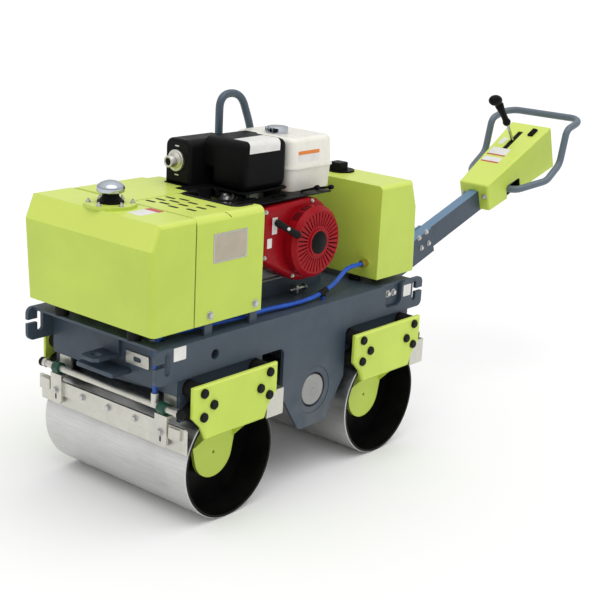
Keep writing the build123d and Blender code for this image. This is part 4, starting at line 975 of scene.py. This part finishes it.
def tank_breather():
    """Mushroom breather: black flared neck under a plated cap."""
    foot = looking_up(FLANGE_X, 0.0, FLANGE_TOP)
    bm = bmesh.new()
    neck = [
        (0, 0), (36.5, 0), (37.5, 2.5), (36.5, 6.5), (31.0, 9.0), (25.0, 16.0), (22.5, 23.0), (22.5, 29.5),
        (0, 29.5),
    ]
    lathe(bm, foot, neck, 48)
    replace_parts(piece("breather_neck", bm, "black_plastic"), "tank_breather")
    bm = bmesh.new()
    cap = [
        (0, 28.0), (22.0, 27.5), (33.0, 28.0), (37.5, 30.5), (39.0, 34.0), (39.0, 43.0), (37.8, 46.5),
        (33.5, 50.8), (26.0, 55.6), (17.0, 59.4), (8.0, 61.6), (0, 62.2),
    ]
    lathe(bm, foot, cap, 56)
    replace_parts(piece("breather_cap", bm, "chrome"), "tank_breather")


def cover_lid():
    """Plain lid on the right half of the engine cover, and the sheet that runs on under the muffler."""
    bm = bmesh.new()
    pad(bm, looking_up(332.0, -121.0, COVER_TOP), 260.0, 234.0, 10.0, 1.4, 0.7)
    pad(bm, looking_up(239.0, -111.0, COVER_TOP - 6.0), 74.0, 214.0, 4.0, 5.9, 0.5)
    pad(bm, looking_up(164.0, -128.0, COVER_TOP - 10.0), 80.0, 236.0, 8.0, 4.0, 1.0)
    piece("cover_lid", bm, "lime_paint")


def spark_plug():
    """Plug boot on the cylinder head and its lead to the fan cover."""
    root = on_head(HEAD_FACE + 0.1)
    bm = bmesh.new()
    boot = [(0, 0), (9.0, 0), (9.0, 8.0), (13.0, 10.0), (13.0, 34.0), (10.0, 40.0), (9.0, 46.0), (0, 47.0)]
    lathe(bm, seat(root, head_axis, Y_AXIS), boot, 20)
    start = root + head_axis * 40.0 * MM
    rise = Vector((12.0, 20.0, 12.0)) * MM
    line = [start, start + rise, place(150.0, 70.0, 856.0), place(60.0, 97.0, 857.0)]
    tube(bm, bent_path(line, 30.0, 6), 3.6, 8)
    piece("spark_plug_lead", bm, "rubber")


def scraper_details():
    """Blocks at the ends of the front blade, adjusting slots of its arms drawn as black pads, painted shade
    in the holes, and the slotted plate over it.
    """
    bm = bmesh.new()
    for sign in SIDES:
        pad(bm, looking_ahead(BLADE_FACE, sign * 274.0, 298.0), 44.0, 32.0, 3.0, 8.0, 1.5)
    outer, inner = rounded(92.0, 36.0, 4.0), rounded(32.0, 14.0, 6.9)
    holed_pad(bm, looking_ahead(527.0, 106.0, 464.0), outer, inner, 5.0)
    piece("scraper_blocks", bm, "galvanised")
    bm = bmesh.new()
    # painted shade: black pads for the open slots
    for sign in SIDES:
        pad(bm, looking_ahead(SCRAPER_ARM[0], sign * SCRAPER_ARM[1], 270.0), 6.0, 17.0, 2.9, 0.4, 0.15)
    piece("scraper_slots", bm, "rubber")


def pipe_plugs():
    """Black plugs over the ends of the sprinkler pipes."""
    bm = bmesh.new()
    cup = [(0, 0), (13.6, 0), (13.6, 13.0), (12.0, 15.0), (8.0, 15.2), (7.0, 17.5), (0, 17.8)]
    for x in (PIPE_X, -PIPE_X):
        for sign in SIDES:
            lathe(bm, looking_out(x, sign * PIPE_END, PIPE_Z, sign), cup, 24)
    piece("pipe_plugs", bm, "rubber")


def notch_plates():
    """Plates that close the frame behind the notches of the side plates."""
    bm = bmesh.new()
    for sign in SIDES:
        pad(bm, looking_out(-428.0, sign * 249.0, 504.0, sign), 100.0, 67.0, 4.0, 8.0, 1.0)
    piece("notch_plates", bm, "frame_paint")


def tow_plate():
    """Flat plate below the tow lug on the front cross member."""
    bm = bmesh.new()
    pad(bm, looking_up(562.0, 0.0, 416.0), 70.0, 152.0, 5.0, 13.0, 1.5)
    piece("tow_plate", bm, "frame_paint")


def exciter_cap_faces():
    """Turned faces with a centre dimple on the exciter's end caps."""
    bm = bmesh.new()
    low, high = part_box("exciter_caps")
    across, up = (low[0] + high[0]) / 2, (low[2] + high[2]) / 2
    turned = [
        (0, 0), (50.0, 0), (50.0, 10.0), (47.5, 12.5), (20.0, 12.5), (19.0, 11.7), (6.0, 11.7), (3.5, 9.0),
        (0, 8.6),
    ]
    for sign, face in ((1, high[1]), (-1, low[1])):
        lathe(bm, seat(Vector((across, face, up)), Y_AXIS * sign, X_AXIS), turned, 56)
    piece("exciter_cap_faces", bm, "turned_cap")


def notch_shade_sheets():
    """Black sheets between the muffler, the cylinder and the cut-out of the cover: painted shade that darkens
    the cut-out and closes the gaps seen through it.
    """
    bm = bmesh.new()
    # painted shade: black sheets where the cut-out is in shadow
    pad(bm, looking_up(183.0, -31.0, COVER_TOP + 1.5), 114.0, 60.0, 6.0, 1.6, 0.5)
    pad(bm, looking_out(211.0, -1.0, 843.0), 122.0, 82.0, 4.0, 2.0, 0.4)
    pad(bm, looking_out(45.0, -51.0, 842.0), 210.0, 72.0, 4.0, 2.0, 0.4)
    piece("notch_shade_sheets", bm, "black_metal")


def tension_bolt():
    """Adjusting bolt of the engine rails in its lug on the deck."""
    y, z = 140.0, 561.0
    head, tip = place(-132.0, y, z), place(-66.0, y, z)
    bm = bmesh.new()
    pad(bm, looking_ahead(-92.0, y, z), 26.0, 29.0, 4.0, 8.0, 1.0)
    hex_bolt(bm, seat(head, -X_AXIS, Y_AXIS), 8.5)
    tube(bm, [head, tip], 4.6, 12)
    piece("tension_bolt", bm, "steel")


def hose_tee():
    """Black tee in the water hose and the short branch that drops from it to the deck."""
    behind, ahead = place(*HOSE_DIP), place(*HOSE_REST)
    middle = (behind + ahead) / 2
    half = (ahead - behind).normalized() * 18.0 * MM
    bm = bmesh.new()
    tube(bm, [middle - half, middle + half], 9.4, 20)
    tube(bm, [middle, middle - Z_AXIS * 13.0 * MM], 8.6, 20)
    piece("hose_tee", bm, "rubber")
    bm = bmesh.new()
    tube(bm, [middle, middle - Z_AXIS * 25.0 * MM], 7.0, 16)
    piece("hose_branch", bm, "hose_blue")


def console_inside():
    """Dark boot under the lever slot, and black pans beside the bar under the console: painted shade where
    the console is open below.
    """
    bm = bmesh.new()
    under = on_console(1020.0, LEVER_Y) @ Matrix.Translation((0.0, 0.0, -9.0 * MM))
    pad(bm, under, 150.0, 40.0, 6.0, 3.0, 0.5)
    # painted shade: black pans stand for the shadow inside the console
    for sign in SIDES:
        pan = seat(bar_place(985.0, sign * 40.0, -33.0), bar_normal, bar_run)
        pad(bm, pan, 290.0, 36.0, 3.0, 2.0, 0.5)
    piece("console_inside", bm, "rubber", "drawbar")


def drive_lever():
    """Plated rod with a tapered grip and an oval head; the grip leans forward."""
    foot = bar_place(1034.0, LEVER_Y, 62.0)
    knee = bar_place(995.0, LEVER_Y, 193.0)
    tip = bar_place(943.0, LEVER_Y, 305.0)
    head = bar_place(928.0, LEVER_Y, 318.0)
    joint = seat(knee, tip - knee, Y_AXIS)
    bm = bmesh.new()
    tube(bm, [foot, knee], 6.0, 20)
    tube(bm, [knee, knee + (tip - knee) * 0.08], 6.0, 20)
    lathe(bm, joint, [(0, -3.0), (11.0, -3.0), (11.0, 3.5), (0, 3.5)], 6)
    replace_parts(piece("lever_rod", bm, "chrome", "drawbar"), "drive_lever")
    bm = bmesh.new()
    grip = [
        (0, 3.6), (13.5, 3.6), (15.5, 8.0), (15.5, 15.0), (13.0, 19.0), (11.8, 38.0), (12.6, 62.0),
        (14.5, 86.0), (17.0, 106.0), (12.0, 118.0), (0, 120.0),
    ]
    lathe(bm, joint, grip, 28)
    steps, half_width, half_length = 12, 21.0, 36.0
    sides = [(half_width * sin(pi * k / steps), -half_length * cos(pi * k / steps)) for k in range(1, steps)]
    crown = [(0, -half_length), *sides, (0, half_length)]
    lathe(bm, seat(head, bar_run * -0.93 + bar_normal * 0.36, Y_AXIS), crown, 28)
    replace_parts(piece("lever_grip", bm, "black_plastic", "drawbar"), "drive_lever")


def vent_shade_pads():
    """Black pads in the vents of the cover's left half, painted shade in the vent holes."""
    bm = bmesh.new()
    for row, y in enumerate((24.0, 66.0, 114.0, 172.0)):
        for column in range(3):
            x = 414.0 - VENT_STAGGER * (row % 2) - VENT_PITCH * column
            pad(bm, seat(place(x, y, COVER_TOP), Z_AXIS, Y_AXIS), 38.0, 11.5, 5.6, 0.4, 0.15)
    piece("vent_shade_pads", bm, "rubber")


def rocker_key():
    """Tilted key of the rocker switch."""
    bm = bmesh.new()
    top = on_console(1086.0, 40.0) @ Matrix.Translation((0.0, 0.0, 6.0 * MM))
    outline = [(-20.0, -8.0), (20.0, -8.0), (20.0, 8.0), (-20.0, 8.0)]
    crest = [(x * 0.96, y * 0.9) for x, y in outline]
    low = flat_ring(bm, top, outline, 0.0)
    high = [bm.verts.new(top @ Vector((x * MM, y * MM, (2.5 + 0.11 * x) * MM))) for x, y in crest]
    bridge(bm, low, high)
    bm.faces.new(high)
    bm.faces.new(list(reversed(low)))
    bmesh.ops.bevel(bm, geom=bm.edges[:], offset=0.6 * MM, segments=2, affect="EDGES")
    piece("rocker_key", bm, "black_plastic", "drawbar")


# Studio


def make_floor():
    bm = bmesh.new()
    corners = [(-1, -1), (1, -1), (1, 1), (-1, 1)]
    bm.faces.new([bm.verts.new((x * FLOOR_HALF, y * FLOOR_HALF, 0.0)) for x, y in corners])
    mesh = bpy.data.meshes.new("studio_floor")
    bm.to_mesh(mesh)
    bm.free()
    floor = bpy.data.objects.new("studio_floor", mesh)
    bpy.context.scene.collection.objects.link(floor)
    material = bpy.data.materials.new("floor_pale")
    material.use_nodes = True
    shader = material.node_tree.nodes["Principled BSDF"]
    shader.inputs["Base Color"].default_value = (*FLOOR_PALE, 1.0)
    shader.inputs["Roughness"].default_value = 0.9
    shader.inputs["Specular IOR Level"].default_value = 0.1
    mesh.materials.append(material)


def make_world():
    world = bpy.data.worlds.new("studio")
    bpy.context.scene.world = world
    world.use_nodes = True
    nodes, links = world.node_tree.nodes, world.node_tree.links
    background = nodes["Background"]
    background.inputs["Color"].default_value = (1.0, 1.0, 1.0, 1.0)
    height = nodes.new("ShaderNodeSeparateXYZ")
    links.new(nodes.new("ShaderNodeTexCoord").outputs["Generated"], height.inputs[0])
    glow = nodes.new("ShaderNodeMapRange")
    glow.inputs["To Min"].default_value = HORIZON_GLOW
    glow.inputs["To Max"].default_value = OVERHEAD_GLOW
    links.new(height.outputs["Z"], glow.inputs["Value"])
    links.new(glow.outputs["Result"], background.inputs["Strength"])


def make_sun():
    data = bpy.data.lights.new("sky_sun", "SUN")
    data.energy = SUN
    data.angle = SUN_SPREAD
    lamp = bpy.data.objects.new("sky_sun", data)
    lamp.location = SUN_SPOT
    lamp.rotation_euler = (SUN_AIM - SUN_SPOT).to_track_quat("-Z", "Y").to_euler()
    bpy.context.scene.collection.objects.link(lamp)


def make_camera():
    back = Vector((sin(AZIMUTH) * cos(ELEVATION), -cos(AZIMUTH) * cos(ELEVATION), sin(ELEVATION)))
    right = Vector((cos(AZIMUTH), sin(AZIMUTH), 0.0))
    up = back.cross(right)
    turned_right = right * cos(ROLL) + up * sin(ROLL)
    turned_up = up * cos(ROLL) - right * sin(ROLL)
    data = bpy.data.cameras.new("photo_camera")
    data.lens = LENS
    data.sensor_width = SENSOR
    data.clip_start, data.clip_end = 0.05, 300.0
    camera = bpy.data.objects.new("photo_camera", data)
    bpy.context.scene.collection.objects.link(camera)
    matrix = Matrix((turned_right, turned_up, back)).transposed().to_4x4()
    matrix.translation = EYE
    camera.matrix_world = matrix
    bpy.context.scene.camera = camera


chassis_fasteners()
engine_screws()
drawbar_fasteners()
chassis_labels()
air_cleaner_label()
data_plate()
console_labels()
cover_trim()
recoil_trim()
muffler_outlet()
fuel_cap_ribs()
air_cleaner()
engine_controls()
head_cover()
starter_grip()
lifting_hoop()
cover_shade_sheets_and_slit()
tank_breather()
cover_lid()
pipe_plugs()
spark_plug()
scraper_details()
notch_plates()
tow_plate()
exciter_cap_faces()
notch_shade_sheets()
tension_bolt()
hose_tee()
console_inside()
drive_lever()
vent_shade_pads()
rocker_key()

bpy.context.scene.view_settings.view_transform = "Standard"
make_floor()
make_world()
make_camera()
make_sun()
